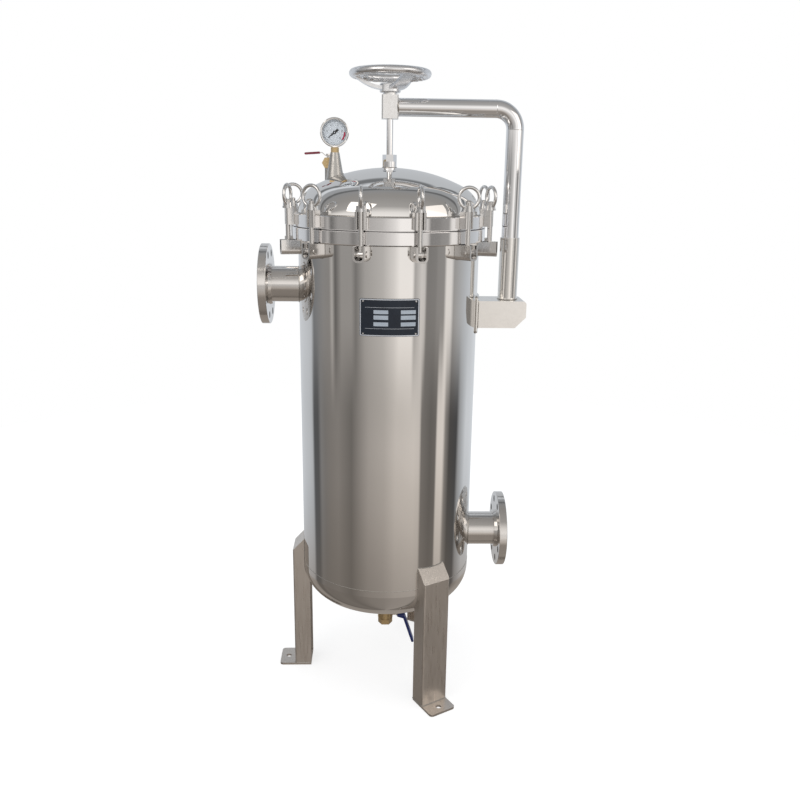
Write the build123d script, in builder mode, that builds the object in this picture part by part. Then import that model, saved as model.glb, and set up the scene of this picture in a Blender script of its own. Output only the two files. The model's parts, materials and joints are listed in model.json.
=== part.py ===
"""Bag filter housing: a polished vessel on three legs, closed by a domed cover with twelve swing
bolts and lifted by a davit with a handwheel. Millimetres, +Z up, the origin on the vessel's axis
at the floor, the inlet towards -X and the outlet towards +X."""

import os
from math import atan2, cos, degrees, radians, sin, sqrt, tan

from build123d import *

os.makedirs("parts", exist_ok=True)

# ---------------------------------------------------------------- driving dimensions

# Vessel
shell_od = 450.0
shell_wall = 4.0
shell_bottom_z = 330.0  # the weld between the bottom head and the shell
shell_length = 858.0
head_skirt = 17.0
crown_share = 0.9  # a dished head's crown radius, as a share of the diameter
knuckle_share = 0.173  # and its knuckle radius

# Body flange, gasket and cover flange
flange_lip = 13.5  # how far both flanges stand out of the shell
flange_bore_step = 6.0  # how far the flanges reach inside the shell's bore
flange_thickness = 30.0
flange_edge = 1.5
gasket_inset = 0.5  # from the flanges' chamfers to the gasket's edge
gasket_thickness = 2.0
gasket_width = 12.0
dome_seat_depth = 8.0
dome_skirt = 4.0

# Nozzles: DN 80, drilled for PN 16
pipe_od = 88.9
pipe_wall = 3.2
nozzle_flange_od = 200.0
nozzle_flange_thickness = 20.0
nozzle_pcd = 160.0
nozzle_bolts = 8
nozzle_bolt_hole = 18.0
nozzle_collar_od = 104.0
nozzle_collar_length = 7.0
nozzle_collar_taper = 20.0
nozzle_flange_edge = 1.0
inlet_below_flange = 115.0
outlet_above_weld = 75.0
inlet_projection = 93.0  # from the shell to the flange's face
outlet_projection = 95.0

# Legs
leg_count = 3
leg_first_azimuth = 60.0
leg_standoff = 29.0  # from the shell to the web's outer face
leg_width = 76.0
leg_depth = 45.0
leg_sheet = 4.0
leg_above_weld = 24.0
leg_cap_angle = 47.0
foot_thickness = 6.0
foot_toe = 43.0
foot_corner = 9.0
anchor_hole = 14.0
anchor_from_web = 21.5

# Swing bolts, their brackets and the cover's lugs
bolt_count = 12
bolt_first_azimuth = 15.0
bolt_outside_flange = 13.5  # from the flanges' rim to the bolts' axes
bolt_d = 12.0
bolt_tip_above_seat = 21.0
eye_d = 16.0
eye_side_gap = 0.5
pivot_d = 8.0
pivot_fit = 0.05  # radial clearance of a running fit
pivot_head_d = 14.0
pivot_head = 2.0
pivot_head_taper = 20.0
pivot_below_flange = 18.0
ear_gap = 18.5
ear_thickness = 4.75
ear_height = 35.0
ear_reach = 19.0  # from the bolt circle outwards
ear_bend = 6.0
lug_width = 28.0
lug_slot_gap = 0.6  # from the rod to each side of the slot
lug_reach = 6.0  # from the bolt circle outwards
lug_corner = 5.0
lug_height = 38.0
lug_above_cover = 12.0
nut_seat_gap = 0.3
nut_collar_d = 25.0
nut_collar_height = 13.0
nut_hex_d = 22.0
ring_mean_r = 23.0
ring_wire = 8.0
ring_drop = 5.0  # how deep the ring's lower turn sinks into the collar

# Davit
post_standoff = 79.0  # from the shell to the post's axis
davit_pipe_od = 42.4
davit_pipe_wall = 3.0
davit_bend_r = 48.0
arm_above_dome = 139.4
sleeve_wall = 2.9
sleeve_fit = 0.05
sleeve_length = 154.0
bracket_below_flange = 148.0
bracket_height = 68.0
bracket_width = 90.0
bracket_reach = 43.0  # from the post's axis outwards
bracket_sheet = 5.0
bracket_round = 9.0
bracket_chamfer = 27.0
bracket_pad = 5.0
bracket_pad_margin = 12.0
block_size = 40.0
block_height = 54.0
block_edge = 3.0

# Lifting screw and handwheel
screw_d = 16.0
screw_fit = 0.05
washer_d = 34.0
washer_thickness = 5.3
washer_gap = 0.3
hub_d = 50.0
hub_height = 20.0
rim_r = 88.5
rim_d = 19.0
rim_rise = 32.0  # from the middle of the hub to the middle of the rim
spoke_count = 3
spoke_width = 30.0
spoke_thickness = 8.0
spoke_rise = 1.0  # at the hub's rim
spoke_first_azimuth = 60.0
screw_above_hub = 2.0
boss_d = 35.0
boss_height = 14.0
boss_nut_af = 30.0
boss_nut_height = 16.0

# Pressure gauge
gauge_inboard = 92.0  # from the shell's radius inwards
gauge_above_dome = 79.4
gauge_d = 68.0
gauge_depth = 28.0
gauge_wall = 2.5
bezel_width = 4.5
dial_from_front = 6.0
glass_thickness = 2.0
glass_from_front = 1.0
pointer_length = 22.0
pointer_tail = 11.0
pointer_width = 2.6
pointer_thickness = 0.6
pointer_lift = 0.6
pointer_cap = 0.4
pointer_rest = 218.0  # degrees from +X, seen from the front, towards +Z
gauge_pipe_od = 22.0
gauge_pipe_taper = 10.0
gauge_pipe_bore = 10.0
gauge_hex_af = 17.0
gauge_hex_height = 12.0
gauge_stem_d = 12.0

# Vent valve
vent_outboard = 19.0  # from the gauge outwards
vent_y = 45.0
vent_above_dome = 9.4
vent_pipe_od = 17.2
vent_body_d = 24.0
vent_body_length = 46.0
vent_hex_af = 25.0
vent_hex_length = 10.0
vent_bore = 10.0
vent_pipe_bore = 8.0
vent_stem_d = 7.0
vent_stem_height = 17.0
vent_lever_length = 54.0
vent_lever_width = 10.0
vent_lever_thickness = 2.0
vent_lever_rise = 8.0
vent_lever_fall = 3.0
vent_lever_bend = 3.0
vent_grip_length = 32.0
vent_grip_wall = 1.6

# Drain valve, three-quarter inch
drain_socket_od = 38.0
drain_socket_length = 26.0
drain_bore = 20.0
drain_thread_r = 12.05
drain_thread_length = 13.0
drain_hex_af = 35.0
drain_hex_height = 14.0
drain_body_d = 42.0
drain_body_height = 32.0
drain_ball_d = 30.0
drain_ball_gap = 0.3
drain_neck_d = 16.0
drain_neck_reach = 28.0
drain_stem_d = 9.0
drain_lever_width = 18.0
drain_lever_thickness = 3.0
drain_lever_gap = 0.2  # from the valve's neck to the lever
drain_lever_foot = 4.0  # how far the lever's flat end reaches below the stem's axis
drain_lever_offset = 24.0
drain_knee_drop = 12.0
drain_lever_drop = 86.0
drain_grip_wall = 2.0
drain_grip_share = 0.7  # of the lever's first slope that the grip covers

# Nameplate
plate_width = 138.0
plate_height = 87.0
plate_below_flange = 162.0
plate_thickness = 1.2
plate_gap = 0.6
plate_corner = 4.0
rivet_d = 5.0
rivet_shank_d = 3.0
rivet_head = 1.2
rivet_taper = 30.0
rivet_inset = 6.0

# Tube plate, baskets and bags
tube_plate_below_inlet = 75.0
tube_plate_thickness = 10.0
tube_plate_fit = 1.0
basket_count = 3
basket_first_azimuth = 60.0
basket_web = 18.0  # between one basket and the next
basket_wall = 2.0
basket_from_shell = 21.0
basket_length = 640.0
basket_collar = 7.0
basket_collar_thickness = 4.0
bag_gap = 1.5
bag_wall = 2.5
bag_ring = 5.0

# ---------------------------------------------------------------- derived places

shell_r = shell_od / 2
shell_ir = shell_r - shell_wall
shell_top_z = shell_bottom_z + shell_length
crown_r = crown_share * shell_od
knuckle_r = knuckle_share * shell_od
knuckle_x = shell_r - knuckle_r
crown_drop = sqrt((crown_r - knuckle_r) ** 2 - knuckle_x**2)  # crown centre to knuckle centre
head_depth = crown_r - crown_drop
knuckle_turn = degrees(atan2(crown_drop, knuckle_x))
head_apex_z = shell_bottom_z - head_skirt - head_depth

flange_r = shell_r + flange_lip
flange_ir = shell_ir - flange_bore_step
gasket_r = flange_r - flange_edge - gasket_inset
body_flange_top_z = shell_top_z + flange_thickness
cover_flange_z = body_flange_top_z + gasket_thickness
cover_top_z = cover_flange_z + flange_thickness
dome_base_z = cover_top_z - dome_seat_depth
dome_apex_z = dome_base_z + dome_skirt + head_depth

inlet_reach = shell_r + inlet_projection
outlet_reach = shell_r + outlet_projection
leg_web_reach = shell_r + leg_standoff
leg_height = shell_bottom_z + leg_above_weld
bolt_circle_r = flange_r + bolt_outside_flange
inlet_z = shell_top_z - inlet_below_flange
outlet_z = shell_bottom_z + outlet_above_weld
pivot_z = shell_top_z - pivot_below_flange
lug_top_z = cover_top_z + lug_above_cover
nut_seat_z = lug_top_z + nut_seat_gap
nut_top_z = nut_seat_z + nut_collar_height
ring_z = nut_top_z - ring_drop + ring_mean_r
bolt_tip_z = nut_seat_z + bolt_tip_above_seat

post_x = shell_r + post_standoff
bracket_top_z = shell_top_z - bracket_below_flange
davit_arm_z = dome_apex_z + arm_above_dome
block_top_z = davit_arm_z + block_height / 2
washer_top_z = block_top_z + washer_thickness
hub_z = washer_top_z + washer_gap
hub_top_z = hub_z + hub_height
rim_z = hub_z + hub_height / 2 + rim_rise
screw_top_z = hub_top_z + screw_above_hub
boss_top_z = dome_apex_z + boss_height
gauge_x = gauge_inboard - shell_r
gauge_z = dome_apex_z + gauge_above_dome
vent_x = gauge_x - vent_outboard
vent_z = dome_apex_z + vent_above_dome
plate_z = shell_top_z - plate_below_flange
basket_spread = 2 * sin(radians(180 / basket_count))  # between neighbours, per pitch radius
basket_r = ((shell_ir - basket_from_shell) * basket_spread - basket_web) / (2 + basket_spread)
basket_pitch_r = shell_ir - basket_r - basket_from_shell

bolt_azimuths = [bolt_first_azimuth + 360 / bolt_count * k for k in range(bolt_count)]
leg_azimuths = [leg_first_azimuth + 360 / leg_count * k for k in range(leg_count)]


def finish(piece, name):
    """Label a finished piece and write it."""
    piece.label = name
    export_step(piece, f"parts/{name}.step")


def turned(prototype, azimuth):
    """A copy of a piece made at azimuth 0, turned about the vessel's axis."""
    return prototype.rotate(Axis.Z, azimuth)


def radial_plane(azimuth, height=0.0):
    """A plane at a height, with its x axis pointing out of the vessel at an azimuth."""
    along = (cos(radians(azimuth)), sin(radians(azimuth)), 0)
    return Plane(origin=(0, 0, height), x_dir=along, z_dir=(0, 0, 1))


# ---------------------------------------------------------------- vessel


def dished_head(weld_plane, skirt):
    """A dished head of the shell's diameter. The plane stands at its weld, upright through the
    vessel's axis, with its y axis towards the apex."""
    with BuildPart() as head:
        with BuildSketch(weld_plane):
            with BuildLine():
                for inset in (0.0, shell_wall):
                    Line((shell_r - inset, 0), (shell_r - inset, skirt))
                    CenterArc((knuckle_x, skirt), knuckle_r - inset, 0, knuckle_turn)
                    crown_turn = 90 - knuckle_turn
                    centre = (0, skirt - crown_drop)
                    CenterArc(centre, crown_r - inset, knuckle_turn, crown_turn)
                Line((shell_r, 0), (shell_ir, 0))
                apex = skirt + head_depth
                Line((0, apex), (0, apex - shell_wall))
            make_face()
        revolve(axis=Axis.Z)
    return head.part


with BuildPart() as vessel_outside:  # the vessel's outer form, which pieces welded to it are cut by
    with BuildSketch(Plane.XY.offset(shell_bottom_z - head_skirt)):
        Circle(shell_r)
    extrude(amount=shell_length + head_skirt)
    tangent_z = shell_bottom_z - head_skirt
    with BuildSketch(Plane(origin=(0, 0, tangent_z), x_dir=(1, 0, 0), z_dir=(0, 1, 0))):
        with BuildLine():
            Line((0, 0), (shell_r, 0))
            CenterArc((knuckle_x, 0), knuckle_r, 0, knuckle_turn)
            CenterArc((0, -crown_drop), crown_r, knuckle_turn, 90 - knuckle_turn)
            Line((0, head_depth), (0, 0))
        make_face()
    revolve(axis=Axis.Z)

with BuildPart() as shell:
    with BuildSketch(Plane.XY.offset(shell_bottom_z)):
        Circle(shell_r)
        Circle(shell_ir, mode=Mode.SUBTRACT)
    extrude(amount=shell_length)
    with BuildSketch(Plane.YZ.offset(-shell_od)):
        with Locations((0, inlet_z)):
            Circle(pipe_od / 2 - pipe_wall)
    extrude(amount=shell_od, mode=Mode.SUBTRACT)
    with BuildSketch(Plane.YZ):
        with Locations((0, outlet_z)):
            Circle(pipe_od / 2 - pipe_wall)
    extrude(amount=shell_od, mode=Mode.SUBTRACT)
finish(shell.part, "shell")

bottom_plane = Plane(origin=(0, 0, shell_bottom_z), x_dir=(1, 0, 0), z_dir=(0, 1, 0))
with BuildPart() as bottom_head:
    add(dished_head(bottom_plane, head_skirt))
    with BuildSketch(Plane.XY.offset(head_apex_z - shell_wall)):
        Circle(drain_bore / 2)
    extrude(amount=head_depth, mode=Mode.SUBTRACT)
finish(bottom_head.part, "bottom_head")

with BuildPart() as body_flange:
    with BuildSketch(Plane.XY.offset(shell_top_z)):
        Circle(flange_r)
        Circle(flange_ir, mode=Mode.SUBTRACT)
    extrude(amount=flange_thickness)
    outer_rims = body_flange.edges().filter_by(GeomType.CIRCLE).sort_by(SortBy.RADIUS)[-2:]
    chamfer(outer_rims, flange_edge)
finish(body_flange.part, "body_flange")

with BuildPart() as gasket:
    with BuildSketch(Plane.XY.offset(body_flange_top_z)):
        Circle(gasket_r)
        Circle(gasket_r - gasket_width, mode=Mode.SUBTRACT)
    extrude(amount=gasket_thickness)
finish(gasket.part, "cover_gasket")


# ---------------------------------------------------------------- nozzles


def nozzle(side, height, reach):
    """A DN 80 nozzle, its pipe scribed to the shell. side is 1 towards +X and -1 towards -X."""
    face = Plane(origin=(side * reach, 0, height), x_dir=(0, side, 0), z_dir=(side, 0, 0))
    back = face.offset(-nozzle_flange_thickness)
    with BuildPart() as made:
        with BuildSketch(back):
            Circle(nozzle_flange_od / 2)
        extrude(amount=nozzle_flange_thickness)
        chamfer(made.edges().filter_by(GeomType.CIRCLE).sort_by(SortBy.RADIUS)[-2:], nozzle_flange_edge)
        with BuildSketch(face):
            with PolarLocations(nozzle_pcd / 2, nozzle_bolts, 180 / nozzle_bolts):
                Circle(nozzle_bolt_hole / 2)
        extrude(amount=-nozzle_flange_thickness, mode=Mode.SUBTRACT)
        with BuildSketch(back):
            Circle(nozzle_collar_od / 2)
        extrude(amount=-nozzle_collar_length, taper=nozzle_collar_taper)
        with BuildSketch(back):
            Circle(pipe_od / 2)
        extrude(amount=-(reach - nozzle_flange_thickness - shell_r + pipe_od / 2))
        with BuildSketch(face):
            Circle(pipe_od / 2 - pipe_wall)
        extrude(amount=-reach, mode=Mode.SUBTRACT)
        with BuildSketch(Plane.XY.offset(height - nozzle_flange_od)):
            Circle(shell_r)
        extrude(amount=2 * nozzle_flange_od, mode=Mode.SUBTRACT)
    return made.part


finish(nozzle(-1, inlet_z, inlet_reach), "inlet_nozzle")
finish(nozzle(1, outlet_z, outlet_reach), "outlet_nozzle")


# ---------------------------------------------------------------- legs

leg_in = leg_web_reach - leg_depth
leg_cap_rise = tan(radians(leg_cap_angle)) * leg_depth
with BuildPart() as leg:
    with BuildSketch(Plane.XZ.offset(-leg_width / 2)):
        with BuildLine():
            Polyline(
                (leg_in, foot_thickness),
                (leg_web_reach, foot_thickness),
                (leg_web_reach, leg_height),
                (leg_in, leg_height + leg_cap_rise),
                close=True,
            )
        make_face()
    extrude(amount=leg_width)
    with BuildSketch(Plane.XZ.offset(-leg_width / 2 + leg_sheet)):
        with BuildLine():
            web_in = leg_web_reach - leg_sheet
            cap_down = leg_sheet / cos(radians(leg_cap_angle))
            Polyline(
                (0, foot_thickness),
                (web_in, foot_thickness),
                (web_in, leg_height + tan(radians(leg_cap_angle)) * leg_sheet - cap_down),
                (leg_in, leg_height + leg_cap_rise - cap_down),
                (0, leg_height + leg_cap_rise - cap_down),
                close=True,
            )
        make_face()
    extrude(amount=leg_width - 2 * leg_sheet, mode=Mode.SUBTRACT)
    web_edges = leg.edges().filter_by(Axis.Z).group_by(Axis.X)[-1]
    fillet(web_edges, leg_sheet)
    add(vessel_outside.part, mode=Mode.SUBTRACT)

foot_out = leg_web_reach + foot_toe
with BuildPart() as foot:
    with BuildSketch():
        with Locations(((foot_out + leg_in) / 2, 0)):
            Rectangle(foot_out - leg_in, leg_width)
        fillet(vertices().group_by(Axis.X)[-1], foot_corner)
        with Locations((leg_web_reach + anchor_from_web, 0)):
            Circle(anchor_hole / 2, mode=Mode.SUBTRACT)
    extrude(amount=foot_thickness)

for number, azimuth in enumerate(leg_azimuths, 1):
    pair = Compound(children=[turned(leg.part, azimuth), turned(foot.part, azimuth)])
    finish(pair, f"leg_{number}")


# ---------------------------------------------------------------- swing bolts and brackets

ear_width = ear_gap + 2 * ear_thickness
ear_low_z = shell_top_z - ear_height
ear_out = bolt_circle_r + ear_reach

with BuildPart() as bracket:  # a plate bent into a U, open towards the flange
    with BuildSketch(Plane.YZ):
        with Locations((0, shell_top_z)):
            RectangleRounded(ear_width, 2 * ear_height, ear_bend + ear_thickness)
            clear_height = 2 * (ear_height - ear_thickness)
            RectangleRounded(ear_gap, clear_height, ear_bend, mode=Mode.SUBTRACT)
    extrude(amount=ear_out)
    split(bisect_by=Plane.XY.offset(shell_top_z), keep=Keep.BOTTOM)
    with BuildSketch(Plane.XZ.offset(-ear_width)):
        with Locations((bolt_circle_r, pivot_z)):
            Circle(pivot_d / 2)
    extrude(amount=2 * ear_width, mode=Mode.SUBTRACT)
    with BuildSketch(Plane.XY.offset(ear_low_z)):
        Circle(shell_r)
    extrude(amount=ear_height, mode=Mode.SUBTRACT)

with BuildPart() as pivot:  # a pin with a low round head at each end
    with BuildSketch(Plane.XZ.offset(-ear_width / 2)):
        with Locations((bolt_circle_r, pivot_z)):
            Circle(pivot_d / 2)
    extrude(amount=ear_width)
    for side in (-1, 1):
        with BuildSketch(Plane.XZ.offset(side * ear_width / 2)):
            with Locations((bolt_circle_r, pivot_z)):
                Circle(pivot_head_d / 2)
        extrude(amount=side * pivot_head, taper=side * pivot_head_taper)

brackets = [turned(bracket.part, azimuth) for azimuth in bolt_azimuths]
pivots = [turned(pivot.part, azimuth) for azimuth in bolt_azimuths]
finish(Compound(children=brackets + pivots), "bolt_brackets")

eye_width = ear_gap - 2 * eye_side_gap
with BuildPart() as swing_bolt:
    with BuildSketch(Plane.XZ.offset(-eye_width / 2)):
        with Locations((bolt_circle_r, pivot_z)):
            Circle(eye_d / 2)
    extrude(amount=eye_width)
    with BuildSketch(Plane.XY.offset(pivot_z)):
        with Locations((bolt_circle_r, 0)):
            Circle(bolt_d / 2)
    extrude(amount=bolt_tip_z - pivot_z)
    chamfer(swing_bolt.faces().sort_by(Axis.Z)[-1].edges(), bolt_d / 10)
    with BuildSketch(Plane.XZ.offset(-eye_width / 2)):
        with Locations((bolt_circle_r, pivot_z)):
            Circle(pivot_d / 2 + pivot_fit)
    extrude(amount=eye_width, mode=Mode.SUBTRACT)

# Which way each eye nut happens to face when it is tight: the azimuth of its ring's axis
ring_azimuths = [20, 75, 110, 150, 40, 100, 165, 60, 0, 8, 88, 20]

for number, (azimuth, ring_azimuth) in enumerate(zip(bolt_azimuths, ring_azimuths), 1):
    finish(turned(swing_bolt.part, azimuth), f"swing_bolt_{number:02d}")
    bolt_x = bolt_circle_r * cos(radians(azimuth))
    bolt_y = bolt_circle_r * sin(radians(azimuth))
    ring_axis = (cos(radians(ring_azimuth)), sin(radians(ring_azimuth)), 0)
    with BuildPart() as eye_nut:
        with BuildSketch(Plane.XY.offset(nut_seat_z)):
            with Locations((bolt_x, bolt_y)):
                Circle(nut_collar_d / 2)
        extrude(amount=nut_collar_height / 3)
        with BuildSketch(Plane.XY.offset(nut_seat_z + nut_collar_height / 3)):
            with Locations((bolt_x, bolt_y)):
                Circle(nut_hex_d / 2)
        extrude(amount=nut_collar_height * 2 / 3)
        ring_plane = Plane(origin=(bolt_x, bolt_y, ring_z), x_dir=(0, 0, 1), z_dir=ring_axis)
        with Locations(ring_plane):
            Torus(ring_mean_r, ring_wire / 2)
        with BuildSketch(Plane.XY.offset(nut_seat_z)):
            with Locations((bolt_x, bolt_y)):
                Circle(bolt_d / 2 + pivot_fit)
        extrude(amount=ring_mean_r, mode=Mode.SUBTRACT)
    finish(eye_nut.part, f"eye_nut_{number:02d}")

# ---------------------------------------------------------------- cover

with BuildPart() as cover_flange:
    with BuildSketch(Plane.XY.offset(cover_flange_z)):
        Circle(flange_r)
        Circle(flange_ir, mode=Mode.SUBTRACT)
    extrude(amount=flange_thickness)
    outer_rims = cover_flange.edges().filter_by(GeomType.CIRCLE).sort_by(SortBy.RADIUS)[-2:]
    chamfer(outer_rims, flange_edge)
    with BuildSketch(Plane.XY.offset(dome_base_z)):
        Circle(shell_r)
    extrude(amount=dome_seat_depth, mode=Mode.SUBTRACT)
finish(cover_flange.part, "cover_flange")

dome_plane = Plane(origin=(0, 0, dome_base_z), x_dir=(1, 0, 0), z_dir=(0, -1, 0))
with BuildPart() as dome:
    add(dished_head(dome_plane, dome_skirt))
    for x, y, bore in (
        (gauge_x, 0, gauge_pipe_bore / 2),
        (vent_x, vent_y, vent_pipe_bore / 2),
    ):
        with BuildSketch(Plane.XY.offset(dome_base_z)):
            with Locations((x, y)):
                Circle(bore)
        extrude(amount=head_depth, mode=Mode.SUBTRACT)
finish(dome.part, "cover_dome")

slot_half = bolt_d / 2 + lug_slot_gap
lug_out = bolt_circle_r + lug_reach
with BuildPart() as lug:
    with BuildSketch(Plane.XY.offset(lug_top_z - lug_height)):
        with Locations((lug_out / 2, 0)):
            Rectangle(lug_out, lug_width)
        fillet(vertices().group_by(Axis.X)[-1], lug_corner)
        with Locations((bolt_circle_r, 0)):
            Circle(slot_half, mode=Mode.SUBTRACT)
        with Locations((bolt_circle_r + lug_reach, 0)):
            Rectangle(2 * lug_reach, 2 * slot_half, mode=Mode.SUBTRACT)
    extrude(amount=lug_height)
    with BuildSketch(Plane.XY.offset(lug_top_z - lug_height)):
        Circle(flange_r)
    extrude(amount=lug_height, mode=Mode.SUBTRACT)
finish(Compound(children=[turned(lug.part, a) for a in bolt_azimuths]), "cover_lugs")

with BuildPart() as boss:
    with BuildSketch(Plane.XY.offset(dome_apex_z - boss_height)):
        Circle(boss_d / 2)
    extrude(amount=boss_height * 2)
    with BuildSketch(Plane.XY.offset(boss_top_z)):
        RegularPolygon(boss_nut_af / 2, 6, major_radius=False)
    extrude(amount=boss_nut_height)
    with BuildSketch(Plane.XY.offset(boss_top_z)):
        Circle(screw_d / 2)
    extrude(amount=boss_nut_height, mode=Mode.SUBTRACT)
    with BuildSketch(Plane(origin=(0, 0, dome_apex_z - crown_r), x_dir=(1, 0, 0), z_dir=(0, -1, 0))):
        with BuildLine():
            CenterArc((0, 0), crown_r, 80, 10)
            Line((0, crown_r), (0, 0))
            Line((0, 0), crown_r * Vector(cos(radians(80)), sin(radians(80))))
        make_face()
    revolve(axis=Axis.Z, mode=Mode.SUBTRACT)

with BuildPart() as screw:
    with BuildSketch(Plane.XY.offset(boss_top_z)):
        Circle(screw_d / 2)
    extrude(amount=screw_top_z - boss_top_z)
    chamfer(screw.faces().sort_by(Axis.Z)[-1].edges(), screw_d / 16)
finish(Compound(children=[screw.part, boss.part]), "lifting_screw")

# ---------------------------------------------------------------- davit

post_low_z = bracket_top_z - bracket_height + bracket_sheet
sleeve_ir = davit_pipe_od / 2 + sleeve_fit
bracket_low_z = bracket_top_z - bracket_height
bracket_out = post_x + bracket_reach
with BuildPart() as davit_bracket:  # a closed box of bent sheet on a pad
    with BuildSketch(Plane.XZ.offset(-bracket_width / 2)):
        with BuildLine():
            Polyline(
                (shell_ir, bracket_low_z),
                (bracket_out - bracket_chamfer, bracket_low_z),
                (bracket_out, bracket_low_z + bracket_chamfer),
                (bracket_out, bracket_top_z),
                (shell_ir, bracket_top_z),
                close=True,
            )
        make_face()
        fillet(vertices().sort_by(Axis.Y)[-2:].sort_by(Axis.X)[-1], bracket_round)
    extrude(amount=bracket_width)
    walls = davit_bracket.faces().sort_by(Axis.X)[:1]
    offset(amount=-bracket_sheet, openings=walls)
    with BuildSketch(Plane.XY.offset(bracket_top_z - bracket_height)):
        Circle(shell_r + bracket_pad)
    extrude(amount=bracket_height, mode=Mode.SUBTRACT)
    with BuildSketch(Plane.XY.offset(bracket_low_z + bracket_sheet)):
        with Locations((post_x, 0)):
            Circle(sleeve_ir + sleeve_wall)
    extrude(amount=bracket_height, mode=Mode.SUBTRACT)

with BuildPart() as pad:
    with BuildSketch(Plane.YZ):
        with Locations((0, (bracket_low_z + bracket_top_z) / 2)):
            RectangleRounded(
                bracket_width + 2 * bracket_pad_margin,
                bracket_height + 2 * bracket_pad_margin,
                bracket_pad_margin / 2,
            )
    extrude(amount=shell_od)
    with BuildSketch(Plane.XY.offset(bracket_low_z - shell_od)):
        Circle(shell_r + bracket_pad)
        Circle(shell_r, mode=Mode.SUBTRACT)
    extrude(amount=2 * shell_od, mode=Mode.INTERSECT)

with BuildPart() as sleeve:
    with BuildSketch(Plane.XY.offset(bracket_low_z + bracket_sheet)):
        with Locations((post_x, 0)):
            Circle(sleeve_ir + sleeve_wall)
            Circle(sleeve_ir, mode=Mode.SUBTRACT)
    extrude(amount=bracket_height - bracket_sheet + sleeve_length)
finish(Compound(children=[davit_bracket.part, pad.part, sleeve.part]), "davit_bracket")

with BuildPart() as davit:
    with BuildLine() as davit_path:
        bend_centre = (post_x - davit_bend_r, davit_arm_z - davit_bend_r)
        with BuildLine(Plane.XZ):
            Line((post_x, post_low_z), (post_x, davit_arm_z - davit_bend_r))
            CenterArc(bend_centre, davit_bend_r, 0, 90)
            Line((post_x - davit_bend_r, davit_arm_z), (block_size / 2, davit_arm_z))
    with BuildSketch(Plane.XY.offset(post_low_z)):
        with Locations((post_x, 0)):
            Circle(davit_pipe_od / 2)
            Circle(davit_pipe_od / 2 - davit_pipe_wall, mode=Mode.SUBTRACT)
    sweep(path=davit_path.wires()[0])
finish(davit.part, "davit_arm")

with BuildPart() as block:
    with BuildSketch(Plane.XY.offset(davit_arm_z - block_height / 2)):
        Rectangle(block_size, block_size)
        Circle(screw_d / 2 + screw_fit, mode=Mode.SUBTRACT)
    extrude(amount=block_height)
    chamfer(block.edges().filter_by(Axis.Z), block_edge)

with BuildPart() as washer:
    with BuildSketch(Plane.XY.offset(block_top_z)):
        Circle(washer_d / 2)
        Circle(screw_d / 2 + screw_fit, mode=Mode.SUBTRACT)
    extrude(amount=washer_thickness)
finish(Compound(children=[block.part, washer.part]), "davit_block")

# ---------------------------------------------------------------- handwheel

hub_middle_z = hub_z + hub_height / 2
with BuildPart() as spoke:
    with BuildSketch(Plane.XZ.offset(-spoke_width / 2)):
        with BuildLine():
            for side in (-1, 1):
                shift = side * spoke_thickness / 2
                Spline(
                    (hub_d / 4, hub_middle_z + shift),
                    (hub_d / 2, hub_middle_z + shift + spoke_rise),
                    (rim_r, rim_z + shift),
                )
            for x, z in ((hub_d / 4, hub_middle_z), (rim_r, rim_z)):
                Line((x, z - spoke_thickness / 2), (x, z + spoke_thickness / 2))
        make_face()
    extrude(amount=spoke_width)

with BuildPart() as handwheel:
    with BuildSketch(Plane.XY.offset(hub_z)):
        Circle(hub_d / 2)
    extrude(amount=hub_height)
    chamfer(handwheel.edges().filter_by(GeomType.CIRCLE), hub_height / 12)
    for number in range(spoke_count):
        add(turned(spoke.part, spoke_first_azimuth + 360 / spoke_count * number))
    with Locations((0, 0, rim_z)):
        Torus(rim_r, rim_d / 2)
    with BuildSketch(Plane.XY.offset(hub_z)):
        Circle(screw_d / 2 + screw_fit)
    extrude(amount=hub_height + spoke_thickness, mode=Mode.SUBTRACT)
finish(handwheel.part, "handwheel")

# ---------------------------------------------------------------- pressure gauge

front_y = -gauge_depth / 2
glass_y = front_y + glass_from_front
dial_y = front_y + dial_from_front
gauge_ir = gauge_d / 2 - gauge_wall
pointer_y = dial_y - pointer_lift - pointer_thickness


def gauge_plane(y):
    """A plane across the gauge at a depth, its z axis towards the back of the case."""
    return Plane(origin=(gauge_x, y, gauge_z), x_dir=(-1, 0, 0), z_dir=(0, 1, 0))


with BuildPart() as gauge_case:
    with BuildSketch(gauge_plane(front_y)):
        Circle(gauge_d / 2)
    extrude(amount=gauge_depth)
    fillet(gauge_case.edges().filter_by(GeomType.CIRCLE).group_by(Axis.Y)[-1], gauge_wall)
    chamfer(gauge_case.edges().filter_by(GeomType.CIRCLE).group_by(Axis.Y)[0], gauge_wall / 2)
    with BuildSketch(gauge_plane(front_y)):
        Circle(gauge_d / 2 - bezel_width)
    extrude(amount=gauge_depth - gauge_wall, mode=Mode.SUBTRACT)
    with BuildSketch(gauge_plane(glass_y)):
        Circle(gauge_ir)
    extrude(amount=gauge_depth - gauge_wall - glass_from_front, mode=Mode.SUBTRACT)
finish(gauge_case.part, "gauge_case")

with BuildPart() as gauge_glass:
    with BuildSketch(gauge_plane(glass_y)):
        Circle(gauge_ir)
    extrude(amount=glass_thickness)
finish(gauge_glass.part, "gauge_glass")

with BuildPart() as gauge_dial:
    with BuildSketch(gauge_plane(dial_y)):
        Circle(gauge_ir)
    extrude(amount=gauge_depth - gauge_wall - dial_from_front)
    with BuildSketch(gauge_plane(dial_y)):
        Circle(pointer_width / 2)
    extrude(amount=-pointer_lift - pointer_thickness - pointer_cap)
finish(gauge_dial.part, "gauge_dial")

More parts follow.
